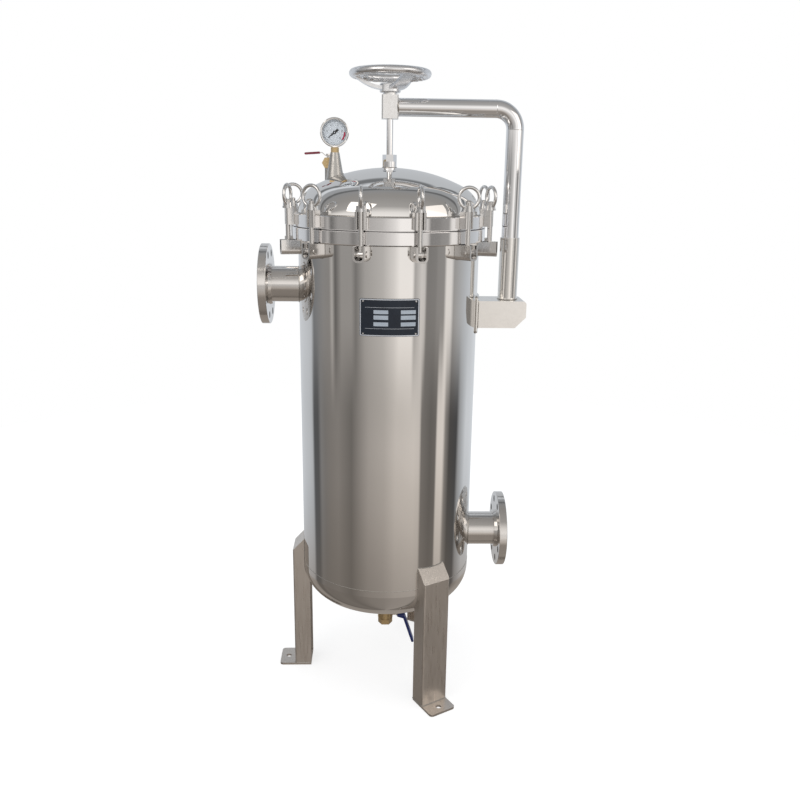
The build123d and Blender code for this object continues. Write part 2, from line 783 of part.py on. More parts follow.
with BuildPart() as gauge_pointer:
    with BuildSketch(gauge_plane(pointer_y)):
        with BuildLine():
            Polyline(
                (-pointer_length, 0),
                (0, pointer_width),
                (pointer_tail, pointer_width),
                (pointer_tail, -pointer_width),
                (0, -pointer_width),
                close=True,
            )
        make_face()
        Circle(pointer_width * 1.5)
        Circle(pointer_width / 2 + pivot_fit, mode=Mode.SUBTRACT)
    extrude(amount=pointer_thickness)
pointer_axis = Axis((gauge_x, 0, gauge_z), (0, -1, 0))
finish(gauge_pointer.part.rotate(pointer_axis, pointer_rest), "gauge_pointer")

hex_top_z = gauge_z - gauge_d / 2
gauge_pipe_top_z = hex_top_z - gauge_hex_height
with BuildPart() as gauge_stem:
    with BuildSketch(Plane.XY.offset(gauge_pipe_top_z)):
        with Locations((gauge_x, 0)):
            RegularPolygon(gauge_hex_af / 2, 6, major_radius=False)
    extrude(amount=gauge_hex_height)
    with BuildSketch(Plane.XY.offset(gauge_pipe_top_z)):
        with Locations((gauge_x, 0)):
            Circle(gauge_stem_d / 2)
    extrude(amount=gauge_hex_height + gauge_wall)
    with BuildSketch(gauge_plane(front_y)):
        Circle(gauge_d / 2)
    extrude(amount=gauge_depth, mode=Mode.SUBTRACT)
finish(gauge_stem.part, "gauge_stem")


def standing_pipe(x, y, pipe, bore, top_z, taper):
    """A pipe standing on the dome, wider towards its foot, which is cut to the crown."""
    low_r = pipe / 2 + tan(radians(taper)) * (top_z - dome_base_z)
    with BuildPart() as made:
        with BuildSketch(Plane(origin=(x, y, 0), x_dir=(1, 0, 0), z_dir=(0, -1, 0))):
            with BuildLine():
                Polyline(
                    (bore / 2, dome_base_z),
                    (low_r, dome_base_z),
                    (pipe / 2, top_z),
                    (bore / 2, top_z),
                    close=True,
                )
            make_face()
        revolve(axis=Axis((x, y, 0), (0, 0, 1)))
        with Locations((0, 0, dome_apex_z - crown_r)):
            Sphere(crown_r, rotation=(90, 0, 0), mode=Mode.SUBTRACT)  # its poles away from the pipes
    return made.part


vent_low_z = vent_z - vent_body_d / 2
vent_pipe = standing_pipe(vent_x, vent_y, vent_pipe_od, vent_pipe_bore, vent_low_z, 0)
gauge_pipe = standing_pipe(
    gauge_x, 0, gauge_pipe_od, gauge_pipe_bore, gauge_pipe_top_z, gauge_pipe_taper
)
finish(Compound(children=[gauge_pipe, vent_pipe]), "cover_pipes")

# ---------------------------------------------------------------- vent valve

with BuildPart() as vent_valve:
    with BuildSketch(Plane.XZ.offset(-vent_y + vent_body_length / 2)):
        with Locations((vent_x, vent_z)):
            Circle(vent_body_d / 2)
    extrude(amount=-vent_body_length)
    for side in (-1, 1):
        outer = -vent_y + side * (vent_body_length / 2 - vent_hex_length / 2)
        with BuildSketch(Plane.XZ.offset(outer)):
            with Locations((vent_x, vent_z)):
                RegularPolygon(vent_hex_af / 2, 6, major_radius=False)
        extrude(amount=vent_hex_length / 2, both=True)
    with BuildSketch(Plane.XY.offset(vent_z)):
        with Locations((vent_x, vent_y)):
            Circle(vent_stem_d)
    extrude(amount=vent_stem_height - vent_lever_thickness * 2)
    with BuildSketch(Plane.XZ.offset(-vent_y - vent_body_length / 2)):
        with Locations((vent_x, vent_z)):
            Circle(vent_bore / 2)
    extrude(amount=vent_body_length * 0.6, mode=Mode.SUBTRACT)
    with BuildSketch(Plane.XY.offset(vent_low_z)):
        with Locations((vent_x, vent_y)):
            Circle(vent_pipe_bore / 2)
    extrude(amount=vent_body_d / 2, mode=Mode.SUBTRACT)
    with BuildSketch(Plane.XY.offset(vent_z + vent_body_d / 4)):
        with Locations((vent_x, vent_y)):
            Circle(vent_stem_d / 2 + pivot_fit)
    extrude(amount=vent_stem_height, mode=Mode.SUBTRACT)
finish(vent_valve.part, "vent_valve_body")

lever_z = vent_z + vent_stem_height
with BuildPart() as vent_lever:
    with BuildSketch(Plane.XZ.offset(-vent_y - vent_lever_width / 2)):
        with BuildLine():
            run = FilletPolyline(
                (vent_x + vent_lever_width / 2, lever_z),
                (vent_x - vent_lever_width / 2, lever_z),
                (vent_x - vent_lever_width * 1.5, lever_z + vent_lever_rise),
                (vent_x - vent_lever_length, lever_z + vent_lever_rise - vent_lever_fall),
                radius=vent_lever_bend,
            )
            offset(run, vent_lever_thickness / 2, kind=Kind.ARC, side=Side.BOTH)
        make_face()
    extrude(amount=vent_lever_width)
    with BuildSketch(Plane.XY.offset(vent_z + vent_body_d / 4)):
        with Locations((vent_x, vent_y)):
            Circle(vent_stem_d / 2)
    extrude(amount=vent_stem_height + 2 * vent_lever_thickness - vent_body_d / 4)
finish(vent_lever.part, "vent_lever")

with BuildPart() as vent_grip:
    tip_x = vent_x - vent_lever_length
    tip_z = lever_z + vent_lever_rise - vent_lever_fall
    with BuildSketch(Plane.XZ.offset(-vent_y - vent_lever_width / 2 - vent_grip_wall)):
        with BuildLine():
            slope = vent_lever_fall / (vent_lever_length - vent_lever_width * 1.5)
            start_z = tip_z + slope * vent_grip_length
            run = Line((tip_x + vent_grip_length, start_z), (tip_x - vent_grip_wall, tip_z))
            offset(run, vent_lever_thickness / 2 + vent_grip_wall, kind=Kind.ARC, side=Side.BOTH)
        make_face()
    extrude(amount=vent_lever_width + 2 * vent_grip_wall)
    add(vent_lever.part, mode=Mode.SUBTRACT)
finish(vent_grip.part, "vent_lever_grip")

# ---------------------------------------------------------------- drain valve

socket_low_z = head_apex_z - drain_socket_length
valve_z = socket_low_z - drain_hex_height - drain_body_height / 2
valve_low_z = valve_z - drain_body_height / 2 - drain_hex_height
with BuildPart() as drain_socket:
    with BuildSketch(Plane.XY.offset(socket_low_z)):
        Circle(drain_socket_od / 2)
        Circle(drain_bore / 2, mode=Mode.SUBTRACT)
    extrude(amount=drain_socket_length * 2)
    with Locations((0, 0, head_apex_z + crown_r)):
        Sphere(crown_r, mode=Mode.SUBTRACT)
finish(drain_socket.part, "drain_socket")

with BuildPart() as drain_valve:
    with BuildSketch(Plane.XY.offset(valve_z - drain_body_height / 2)):
        Circle(drain_body_d / 2)
    extrude(amount=drain_body_height)
    fillet(drain_valve.edges().filter_by(GeomType.CIRCLE), drain_body_height / 8)
    for low_z in (valve_low_z, socket_low_z - drain_hex_height):
        with BuildSketch(Plane.XY.offset(low_z)):
            RegularPolygon(drain_hex_af / 2, 6, major_radius=False)
        extrude(amount=drain_hex_height)
    with BuildSketch(Plane.YZ):
        with Locations((0, valve_z)):
            Circle(drain_neck_d / 2)
    extrude(amount=drain_neck_reach)
    with BuildSketch(Plane.XY.offset(valve_low_z)):
        Circle(drain_bore / 2)
    extrude(amount=socket_low_z - valve_low_z, mode=Mode.SUBTRACT)
    with BuildSketch(Plane.XY.offset(valve_low_z)):
        Circle(drain_thread_r)
    extrude(amount=drain_thread_length, mode=Mode.SUBTRACT)
    with Locations((0, 0, valve_z)):
        Sphere(drain_ball_d / 2 + drain_ball_gap, mode=Mode.SUBTRACT)
    with BuildSketch(Plane.YZ):
        with Locations((0, valve_z)):
            Circle(drain_stem_d / 2 + pivot_fit)
    extrude(amount=2 * drain_neck_reach, mode=Mode.SUBTRACT)
finish(drain_valve.part, "drain_valve_body")

with BuildPart() as drain_ball:
    with Locations((0, 0, valve_z)):
        Sphere(drain_ball_d / 2)
    with BuildSketch(Plane.YZ):
        with Locations((0, valve_z)):
            Circle(drain_stem_d / 2)
    extrude(amount=drain_neck_reach + drain_lever_thickness * 2)
    with BuildSketch(Plane.XY.offset(valve_z - drain_ball_d)):
        Circle(drain_bore / 2)
    extrude(amount=2 * drain_ball_d, mode=Mode.SUBTRACT)

lever_x = drain_neck_reach + drain_lever_thickness / 2 + drain_lever_gap
lever_path = [
    (lever_x, valve_z + drain_lever_width / 2),
    (lever_x, valve_z - drain_lever_foot),
    (lever_x + drain_lever_offset, valve_z - drain_knee_drop),
    (lever_x + drain_lever_offset * 2, valve_z - drain_lever_drop),
]
with BuildPart() as drain_lever:
    with BuildSketch(Plane.XZ.offset(-drain_lever_width / 2)):
        with BuildLine():
            run = FilletPolyline(*lever_path, radius=drain_lever_thickness)
            offset(run, drain_lever_thickness / 2, kind=Kind.ARC, side=Side.BOTH)
        make_face()
    extrude(amount=drain_lever_width)
    with BuildSketch(Plane.YZ):
        with Locations((0, valve_z)):
            Circle(drain_stem_d / 2)
    extrude(amount=drain_lever_drop, mode=Mode.SUBTRACT)
finish(Compound(children=[drain_ball.part, drain_lever.part]), "drain_lever")

with BuildPart() as drain_grip:
    foot_end, knee, tip = (Vector(*point) for point in lever_path[1:])
    start = knee + (foot_end - knee) * drain_grip_share
    end = tip + (tip - knee).normalized()
    with BuildSketch(Plane.XZ.offset(-drain_lever_width / 2 - drain_grip_wall)):
        with BuildLine():
            run = FilletPolyline(start, knee, end, radius=drain_lever_thickness)
            thickness = drain_lever_thickness / 2 + drain_grip_wall
            offset(run, thickness, kind=Kind.ARC, side=Side.BOTH)
        make_face()
    extrude(amount=drain_lever_width + 2 * drain_grip_wall)
    add(drain_lever.part, mode=Mode.SUBTRACT)
finish(drain_grip.part, "drain_lever_grip")

# ---------------------------------------------------------------- nameplate

plate_low_z = plate_z - plate_height / 2
plate_ir = shell_r + plate_gap
plate_r = plate_ir + plate_thickness
rivet_turn = degrees(atan2(plate_width / 2 - rivet_inset, plate_r))
rivets = []
for side in (-1, 1):
    for up in (-1, 1):
        height = plate_z + up * (plate_height / 2 - rivet_inset)
        outward = radial_plane(270 + side * rivet_turn, height)
        face = Plane(origin=outward.origin + outward.x_dir * plate_r, z_dir=outward.x_dir)
        with BuildPart() as rivet:  # a low head on a stud that is welded to the shell
            with BuildSketch(face):
                Circle(rivet_d / 2)
            extrude(amount=rivet_head, taper=rivet_taper)
            with BuildSketch(face):
                Circle(rivet_d / 2)
            extrude(amount=-rivet_d / 2)
            with BuildSketch(Plane.XY.offset(height - rivet_d)):
                Circle(plate_r)
            extrude(amount=rivet_d * 2, mode=Mode.SUBTRACT)
            with BuildSketch(face):
                Circle(rivet_shank_d / 2)
            extrude(amount=-rivet_d)
            with BuildSketch(Plane.XY.offset(height - rivet_d)):
                Circle(shell_r)
            extrude(amount=rivet_d * 2, mode=Mode.SUBTRACT)
        rivets.append(rivet.part)
finish(Compound(children=rivets), "nameplate_rivets")

with BuildPart() as nameplate:
    with BuildSketch(Plane.XZ):
        with Locations((0, plate_z)):
            RectangleRounded(plate_width, plate_height, plate_corner)
    extrude(amount=shell_od)
    with BuildSketch(Plane.XY.offset(plate_low_z)):
        Circle(plate_r)
        Circle(plate_ir, mode=Mode.SUBTRACT)
    extrude(amount=plate_height, mode=Mode.INTERSECT)
    for rivet in rivets:
        add(rivet, mode=Mode.SUBTRACT)
finish(nameplate.part, "nameplate")

# ---------------------------------------------------------------- tube plate, baskets and bags

tube_plate_top_z = inlet_z - tube_plate_below_inlet
tube_plate_low_z = tube_plate_top_z - tube_plate_thickness
basket_places = PolarLocations(basket_pitch_r, basket_count, basket_first_azimuth)
with BuildPart() as tube_plate:
    with BuildSketch(Plane.XY.offset(tube_plate_low_z)):
        Circle(shell_ir)
        with basket_places:
            Circle(basket_r + tube_plate_fit, mode=Mode.SUBTRACT)
    extrude(amount=tube_plate_thickness)
finish(tube_plate.part, "tube_plate")

basket_low_z = tube_plate_top_z - basket_length
with BuildPart() as baskets:
    with BuildSketch(Plane.XY.offset(basket_low_z)):
        with basket_places:
            Circle(basket_r)
    extrude(amount=basket_length)
    with BuildSketch(Plane.XY.offset(tube_plate_top_z)):
        with basket_places:
            Circle(basket_r + basket_collar)
    extrude(amount=basket_collar_thickness)
    with BuildSketch(Plane.XY.offset(basket_low_z + basket_wall)):
        with basket_places:
            Circle(basket_r - basket_wall)
    extrude(amount=basket_length + basket_collar_thickness, mode=Mode.SUBTRACT)
finish(baskets.part, "baskets")

bag_r = basket_r - basket_wall - bag_gap
bag_top_z = tube_plate_top_z + basket_collar_thickness
with BuildPart() as bags:
    with BuildSketch(Plane.XY.offset(basket_low_z + basket_wall + bag_gap)):
        with basket_places:
            Circle(bag_r)
    extrude(amount=bag_top_z + bag_ring - basket_low_z - basket_wall - bag_gap)
    with BuildSketch(Plane.XY.offset(bag_top_z)):
        with basket_places:
            Circle(basket_r + bag_ring)
    extrude(amount=bag_ring)
    with BuildSketch(Plane.XY.offset(basket_low_z + basket_wall + bag_gap + bag_wall)):
        with basket_places:
            Circle(bag_r - bag_wall)
    extrude(amount=basket_length + basket_collar_thickness + bag_ring, mode=Mode.SUBTRACT)
finish(bags.part, "filter_bags")
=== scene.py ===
"""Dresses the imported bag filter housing: finishes, welds, threads, nameplate, gauge face, felt
bags, camera and light. Metres, +Z up, the origin on the vessel's axis at the floor."""

import json
from math import atan2, cos, degrees, pi, radians, sin, sqrt, tan, tau

import bmesh
import bpy
from mathutils import Matrix, Vector


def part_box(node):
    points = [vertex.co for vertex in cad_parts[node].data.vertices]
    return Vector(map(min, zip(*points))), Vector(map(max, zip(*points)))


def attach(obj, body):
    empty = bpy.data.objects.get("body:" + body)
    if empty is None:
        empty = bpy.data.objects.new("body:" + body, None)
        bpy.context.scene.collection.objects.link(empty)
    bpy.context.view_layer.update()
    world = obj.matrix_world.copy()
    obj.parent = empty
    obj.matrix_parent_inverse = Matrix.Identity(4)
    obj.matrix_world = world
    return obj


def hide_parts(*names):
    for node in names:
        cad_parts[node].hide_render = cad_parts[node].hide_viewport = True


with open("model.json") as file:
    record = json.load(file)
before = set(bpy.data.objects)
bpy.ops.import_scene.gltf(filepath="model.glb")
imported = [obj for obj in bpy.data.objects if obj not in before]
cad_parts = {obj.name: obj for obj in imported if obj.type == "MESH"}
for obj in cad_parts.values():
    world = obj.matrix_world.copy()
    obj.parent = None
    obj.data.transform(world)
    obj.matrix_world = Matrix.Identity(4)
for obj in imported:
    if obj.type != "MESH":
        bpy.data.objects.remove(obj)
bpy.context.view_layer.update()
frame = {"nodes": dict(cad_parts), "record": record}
nodes = frame["nodes"]
joints = {joint["name"]: joint for joint in frame["record"]["behaviour"]["joints"]}
scene = bpy.context.scene

# ---------------------------------------------------------------- places read from the frame

shell_low, shell_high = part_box("shell")
shell_r = shell_high.y
cover_flange_low, cover_flange_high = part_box("cover_flange")
flange_r = cover_flange_high.y
dome_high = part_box("cover_dome")[1]
inlet_low, inlet_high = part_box("inlet_nozzle")
outlet_low, outlet_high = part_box("outlet_nozzle")
inlet_z = (inlet_low.z + inlet_high.z) / 2
outlet_z = (outlet_low.z + outlet_high.z) / 2
plate_low, plate_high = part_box("nameplate")
case_low, case_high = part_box("gauge_case")
gauge_x = (case_low.x + case_high.x) / 2
gauge_z = (case_low.z + case_high.z) / 2
dial_y = joints["gauge_pointer_turn"]["pos_m"][1]
wheel_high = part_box("handwheel")[1]
arm_low, arm_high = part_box("davit_arm")
davit_r = arm_high.y
arm_z = arm_high.z - davit_r
post_x = arm_high.x - davit_r
bracket_low, bracket_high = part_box("davit_bracket")
socket_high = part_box("drain_socket")[1]
bags_low, bags_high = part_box("filter_bags")
vent_place = joints["vent_lever_turn"]["pos_m"]
drain_place = joints["drain_lever_turn"]["pos_m"]
bolt_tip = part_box("swing_bolt_01")[1].z
nut_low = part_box("eye_nut_01")[0].z
bolt_count = sum(name.startswith("swing_bolt_") for name in nodes)
leg_count = sum(name.startswith("leg_") for name in nodes)

# Sizes that the boxes don't give
mm = 0.001
boss_r = 17.5 * mm
gauge_pipe_foot_r = 20.9 * mm
vent_pipe_r = 8.6 * mm
bolt_r = 6 * mm
bolt_pitch = 1.75 * mm
wheel_rim_d = 19 * mm
bag_r = 84.3 * mm
bag_rim_r = 93 * mm
bag_count = 3
pipe_r = 44.45 * mm
crown_r = 405 * mm
knuckle_r = 77.85 * mm
head_skirt = 17 * mm
leg_half = 38 * mm
leg_web_r = 254 * mm
leg_inner_r = 209 * mm
leg_top = 354 * mm
leg_cap_slope = tan(radians(47))
foot_top = 6 * mm
ear_half = 14 * mm
ear_low = 1153 * mm
ear_round = 10.75 * mm
lug_half = 14 * mm
davit_bend_r = 48 * mm
sleeve_r = 24.15 * mm
bracket_half = 45 * mm
bracket_box_low = 972 * mm
bracket_box_high = 1040 * mm
pad_thickness = 5 * mm
pad_above_box = 12 * mm

# Throats of the weld beads
nozzle_bead = 2.4 * mm
flange_bead = 2 * mm
davit_bead = 1.8 * mm
leg_bead = 1.6 * mm
pipe_bead = 1.4 * mm
small_bead = 1.1 * mm
leg_azimuths = [radians(60 + 360 / leg_count * k) for k in range(leg_count)]
bolt_azimuths = [radians(15 + 360 / bolt_count * k) for k in range(bolt_count)]


# ---------------------------------------------------------------- materials


def link(tree, source, output, target, socket):
    tree.links.new(source.outputs[output], target.inputs[socket])


def new_material(name):
    """A node material with its shader, and Object coordinates to hang patterns on."""
    material = bpy.data.materials.new(name)
    material.use_nodes = True
    tree = material.node_tree
    shader = tree.nodes["Principled BSDF"]
    coordinates = tree.nodes.new("ShaderNodeTexCoord")
    return material, tree, shader, coordinates


def stretched_noise(tree, coordinates, scale, stretch, detail=3.0):
    """Noise on Object coordinates, stretched by a scale for each axis."""
    mapping = tree.nodes.new("ShaderNodeMapping")
    mapping.inputs["Scale"].default_value = stretch
    link(tree, coordinates, "Object", mapping, "Vector")
    noise = tree.nodes.new("ShaderNodeTexNoise")
    noise.inputs["Scale"].default_value = scale
    noise.inputs["Detail"].default_value = detail
    link(tree, mapping, "Vector", noise, "Vector")
    return noise


def spread(tree, source, output, low, high):
    """Maps a pattern's middle range to low..high."""
    node = tree.nodes.new("ShaderNodeMapRange")
    node.inputs["From Min"].default_value = 0.3
    node.inputs["From Max"].default_value = 0.7
    node.inputs["To Min"].default_value = low
    node.inputs["To Max"].default_value = high
    link(tree, source, output, node, "Value")
    return node


def colour_ramp(tree, socket, stops):
    """Colours along a socket's value from 0 to 1. Each stop is a place and a colour."""
    node = tree.nodes.new("ShaderNodeValToRGB")
    elements = node.color_ramp.elements
    while len(elements) < len(stops):
        elements.new(1.0)
    for element, (place, colour) in zip(elements, stops):
        element.position = place
        element.color = (*colour, 1)
    tree.links.new(socket, node.inputs["Fac"])
    return node.outputs["Color"]


def bump(tree, shader, source, output, distance, under=None):
    """A bump from a pattern, laid over another bump where one is given."""
    node = tree.nodes.new("ShaderNodeBump")
    node.inputs["Distance"].default_value = distance
    link(tree, source, output, node, "Height")
    if under:
        link(tree, under, "Normal", node, "Normal")
    link(tree, node, "Normal", shader, "Normal")
    return node


def steel(name, light, dark, gloss, grain, stretch, swell=0.0, grain_depth=0.02):
    """Stainless steel: a tone that drifts, a grain of polishing lines and, where a sheet has
    one, a slow swell. Depths are in millimetres."""
    material, tree, shader, coordinates = new_material(name)
    shader.inputs["Metallic"].default_value = 1.0
    drift = stretched_noise(tree, coordinates, 5.0, (1, 1, 0.6), detail=4)
    tone = colour_ramp(tree, drift.outputs["Fac"], [(0.3, dark), (0.7, light)])
    tree.links.new(tone, shader.inputs["Base Color"])
    lines = stretched_noise(tree, coordinates, grain, stretch, detail=2)
    rough = spread(tree, lines, "Fac", gloss * 0.75, gloss * 1.3)
    link(tree, rough, "Result", shader, "Roughness")
    under = None
    if swell:
        wave = stretched_noise(tree, coordinates, 3.2, (1, 1, 0.3), detail=1)
        under = bump(tree, shader, wave, "Fac", swell * mm)
    bump(tree, shader, lines, "Fac", grain_depth * mm, under=under)
    return material


def paint(name, light, dark, roughness, grain=180.0, depth=0.04, metallic=0.0, coat=0.0):
    """A coating, plastic or rubber with a faint mottle and an uneven surface."""
    material, tree, shader, coordinates = new_material(name)
    shader.inputs["Metallic"].default_value = metallic
    shader.inputs["Coat Weight"].default_value = coat
    mottle = stretched_noise(tree, coordinates, 40, (1, 1, 1), detail=4)
    tone = colour_ramp(tree, mottle.outputs["Fac"], [(0.3, dark), (0.7, light)])
    tree.links.new(tone, shader.inputs["Base Color"])
    fine = stretched_noise(tree, coordinates, grain, (1, 1, 1), detail=2)
    rough = spread(tree, fine, "Fac", roughness * 0.85, min(1.0, roughness * 1.15))
    link(tree, rough, "Result", shader, "Roughness")
    bump(tree, shader, fine, "Fac", depth * mm)
    return material


def clear_glass():
    """Gauge glass: clear, thin and glossy, with faint smears."""
    material, tree, shader, coordinates = new_material("gauge_glass")
    shader.inputs["Base Color"].default_value = (0.97, 0.98, 0.98, 1)
    shader.inputs["Transmission Weight"].default_value = 1.0
    shader.inputs["IOR"].default_value = 1.1
    smears = stretched_noise(tree, coordinates, 60, (1, 1, 3))
    rough = spread(tree, smears, "Fac", 0.0, 0.04)
    link(tree, rough, "Result", shader, "Roughness")
    return material


# How a grain is stretched: drawn out upwards, or the same all ways
up_lines = (1, 1, 0.05)
even = (1, 1, 1)

mirror_steel = steel(
    "mirror_polished_steel", (0.88, 0.87, 0.86), (0.81, 0.80, 0.785), 0.028, 60, up_lines,
    swell=4, grain_depth=0.004
)
pipe_steel = steel(
    "polished_pipe_steel", (0.97, 0.975, 0.99), (0.92, 0.925, 0.94), 0.05, 90, up_lines,
    grain_depth=0.006
)
rim_steel = steel(
    "turned_flange_steel", (0.99, 0.98, 0.98), (0.86, 0.85, 0.85), 0.09, 160, up_lines,
    grain_depth=0.01
)
nozzle_steel = steel(
    "turned_nozzle_steel", (0.84, 0.82, 0.80), (0.74, 0.72, 0.70), 0.13, 200, even, grain_depth=0.006
)
block_steel = steel(
    "polished_block_steel", (0.97, 0.97, 0.97), (0.94, 0.94, 0.94), 0.32, 160, even, grain_depth=0.003
)
lug_steel = steel(
    "ground_lug_steel", (0.88, 0.865, 0.85), (0.74, 0.725, 0.71), 0.16, 260, up_lines,
    grain_depth=0.008
)
satin_steel = steel(
    "satin_sheet_steel", (0.76, 0.71, 0.66), (0.66, 0.615, 0.57), 0.34, 300, (1, 1, 0.06),
    grain_depth=0.02
)
bracket_steel = steel(
    "davit_bracket_steel", (0.94, 0.925, 0.90), (0.87, 0.855, 0.83), 0.14, 120, even,
    grain_depth=0.002
)
cast_steel = steel(
    "polished_cast_steel", (0.93, 0.94, 0.96), (0.82, 0.83, 0.85), 0.24, 70, even, grain_depth=0.03
)
bright_ring = steel("bright_ring_steel", (0.90, 0.90, 0.90), (0.80, 0.80, 0.80), 0.12, 90, even)
weld_steel = steel(
    "weld_steel", (0.62, 0.60, 0.57), (0.44, 0.42, 0.39), 0.32, 400, even, grain_depth=0.2
)
pipe_satin = steel(
    "satin_pipe_steel", (0.62, 0.61, 0.59), (0.50, 0.49, 0.47), 0.30, 200, even, grain_depth=0.02
)
brass = steel(
    "plain_brass", (0.80, 0.62, 0.35), (0.66, 0.49, 0.26), 0.34, 260, even, grain_depth=0.05
)

gasket_rubber = paint("gasket_rubber", (0.035, 0.035, 0.037), (0.015, 0.015, 0.016), 0.6)
navy_print = paint("navy_print", (0.007, 0.015, 0.030), (0.004, 0.010, 0.022), 0.42)
plate_silver = paint("plate_silver", (0.72, 0.75, 0.80), (0.62, 0.65, 0.70), 0.3, metallic=0.4)
plate_box = paint("plate_box", (0.50, 0.56, 0.63), (0.42, 0.48, 0.55), 0.4, metallic=0.2)
dial_white = paint("dial_white", (0.72, 0.76, 0.82), (0.68, 0.72, 0.78), 0.4)
dial_black = paint("dial_black", (0.02, 0.02, 0.022), (0.012, 0.012, 0.014), 0.45)
dial_red = paint("dial_red", (0.50, 0.02, 0.08), (0.42, 0.015, 0.06), 0.45)
red_vinyl = paint(
    "dipped_red_vinyl", (0.26, 0.03, 0.055), (0.20, 0.02, 0.04), 0.38, depth=0.1, coat=0.2
)
blue_vinyl = paint(
    "dipped_blue_vinyl", (0.012, 0.03, 0.17), (0.008, 0.02, 0.12), 0.36, depth=0.1, coat=0.2
)
white_felt = paint("needle_felt", (0.82, 0.81, 0.77), (0.70, 0.69, 0.64), 0.95, grain=500, depth=0.8)
glass = clear_glass()

finishes = {
    mirror_steel: ["shell", "bottom_head", "cover_dome"],
    pipe_steel: ["davit_arm", "lifting_screw"],
    rim_steel: ["body_flange", "cover_flange", "nameplate_rivets", "tube_plate", "baskets"],
    nozzle_steel: ["inlet_nozzle", "outlet_nozzle", "drain_socket"],
    pipe_satin: ["cover_pipes"],
    block_steel: ["davit_block"],
    lug_steel: ["cover_lugs", "bolt_brackets", "vent_lever", "drain_lever"],
    bracket_steel: ["davit_bracket"],
    satin_steel: [f"leg_{number + 1}" for number in range(leg_count)],
    cast_steel: ["handwheel"],
    bright_ring: ["gauge_case"],
    brass: ["gauge_stem", "vent_valve_body", "drain_valve_body"],
    gasket_rubber: ["cover_gasket"],
    navy_print: ["nameplate"],
    dial_white: ["gauge_dial"],
    dial_black: ["gauge_pointer"],
    red_vinyl: ["vent_lever_grip"],
    blue_vinyl: ["drain_lever_grip"],
    white_felt: ["filter_bags"],
    glass: ["gauge_glass"],
}
for number in range(1, bolt_count + 1):
    finishes[lug_steel].append(f"swing_bolt_{number:02d}")
    finishes[bright_ring].append(f"eye_nut_{number:02d}")

for material, dressed in finishes.items():
    for node in dressed:
        mesh = nodes[node].data
        mesh.materials.clear()
        mesh.materials.append(material)


# ---------------------------------------------------------------- making pieces


def piece(name, bm, material, body):
    """Turns a bmesh into a finished piece that rides on a body."""
    mesh = bpy.data.meshes.new(name)
    bm.to_mesh(mesh)
    bm.free()
    mesh.materials.append(material)
    mesh.shade_smooth()
    mesh.set_sharp_from_angle(angle=radians(35))
    obj = bpy.data.objects.new(name, mesh)
    scene.collection.objects.link(obj)
    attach(obj, body)
    return obj


def add_mesh(bm, mesh):
    """Adds a mesh to a bmesh and deletes it."""
    bm.from_mesh(mesh)
    bpy.data.meshes.remove(mesh)


def even_steps(points, step, closed):
    """Points at even distances along a line of points."""
    line = list(points)
    if closed:
        line.append(line[0])
    lengths = [(b - a).length for a, b in zip(line, line[1:])]
    count = max(4, round(sum(lengths) / step))
    placed = []
    run, done = 0, 0.0
    for number in range(count if closed else count + 1):
        goal = sum(lengths) * number / count
        while run < len(lengths) - 1 and done + lengths[run] < goal:
            done += lengths[run]
            run += 1
        share = (goal - done) / lengths[run]
        placed.append(line[run].lerp(line[run + 1], min(1.0, share)))
    return placed


def add_bead(bm, points, radius, closed=False, ripple=0.16):
    """A bead of weld along a line of points, a little thicker at each of its ripples."""
    curve = bpy.data.curves.new("bead", "CURVE")
    curve.dimensions = "3D"
    curve.bevel_depth = radius
    curve.bevel_resolution = 2
    curve.use_fill_caps = True
    placed = even_steps(points, radius * 1.2, closed)
    spline = curve.splines.new("POLY")
    spline.points.add(len(placed) - 1)
    spline.use_cyclic_u = closed
    for number, (point, place) in enumerate(zip(spline.points, placed)):
        point.co = (*place, 1)
        point.radius = 1 - ripple * (number % 2)
    holder = bpy.data.objects.new("bead", curve)
    scene.collection.objects.link(holder)
    add_mesh(bm, bpy.data.meshes.new_from_object(holder))
    bpy.data.objects.remove(holder)
    bpy.data.curves.remove(curve)


def weld(name, lines, radius, body, closed=False, material=weld_steel):
    """One piece of weld, from one or more lines of points."""
    bm = bmesh.new()
    for line in lines:
        add_bead(bm, line, radius, closed)
    bmesh.ops.remove_doubles(bm, verts=bm.verts, dist=1e-6)
    bmesh.ops.recalc_face_normals(bm, faces=bm.faces)
    return piece(name, bm, material, body)


def circle(radius, height, x=0.0, y=0.0, steps=96):
    """Points round an upright axis."""
    turns = [tau * k / steps for k in range(steps)]
    return [Vector((x + radius * cos(t), y + radius * sin(t), height)) for t in turns]


def side_circle(radius, x, height, steps=64):
    """Points round an axis that runs along X."""
    turns = [tau * k / steps for k in range(steps)]
    return [Vector((x, radius * cos(t), height + radius * sin(t))) for t in turns]


def turned(points, azimuth):
    """Points made at azimuth 0, turned about the vessel's axis."""
    spin = Matrix.Rotation(azimuth, 3, "Z")
    return [spin @ point for point in points]


def on_shell(y, height, radius=shell_r):
    """The point of a cylinder about the vessel's axis, towards +X, at a width and a height."""
    return Vector((sqrt(radius**2 - y**2), y, height))


# ---------------------------------------------------------------- welds of the vessel and its cover


def crown_z(distance):
    """The height of the cover's crown at a distance from the axis."""
    return dome_high.z - crown_r + sqrt(crown_r**2 - distance**2)


def on_crown(x, y, radius):
    """Points round a pipe that stands on the cover's crown."""
    flat = circle(radius, 0, x, y, steps=48)
    return [Vector((p.x, p.y, crown_z(sqrt(p.x**2 + p.y**2)))) for p in flat]


def saddle(side, height):
    """Where a nozzle's pipe meets the shell."""
    points = []
    for number in range(64):
        turn = tau * number / 64
        point = on_shell(pipe_r * cos(turn), height + pipe_r * sin(turn))
        points.append(Vector((side * point.x, point.y, point.z)))
    return points


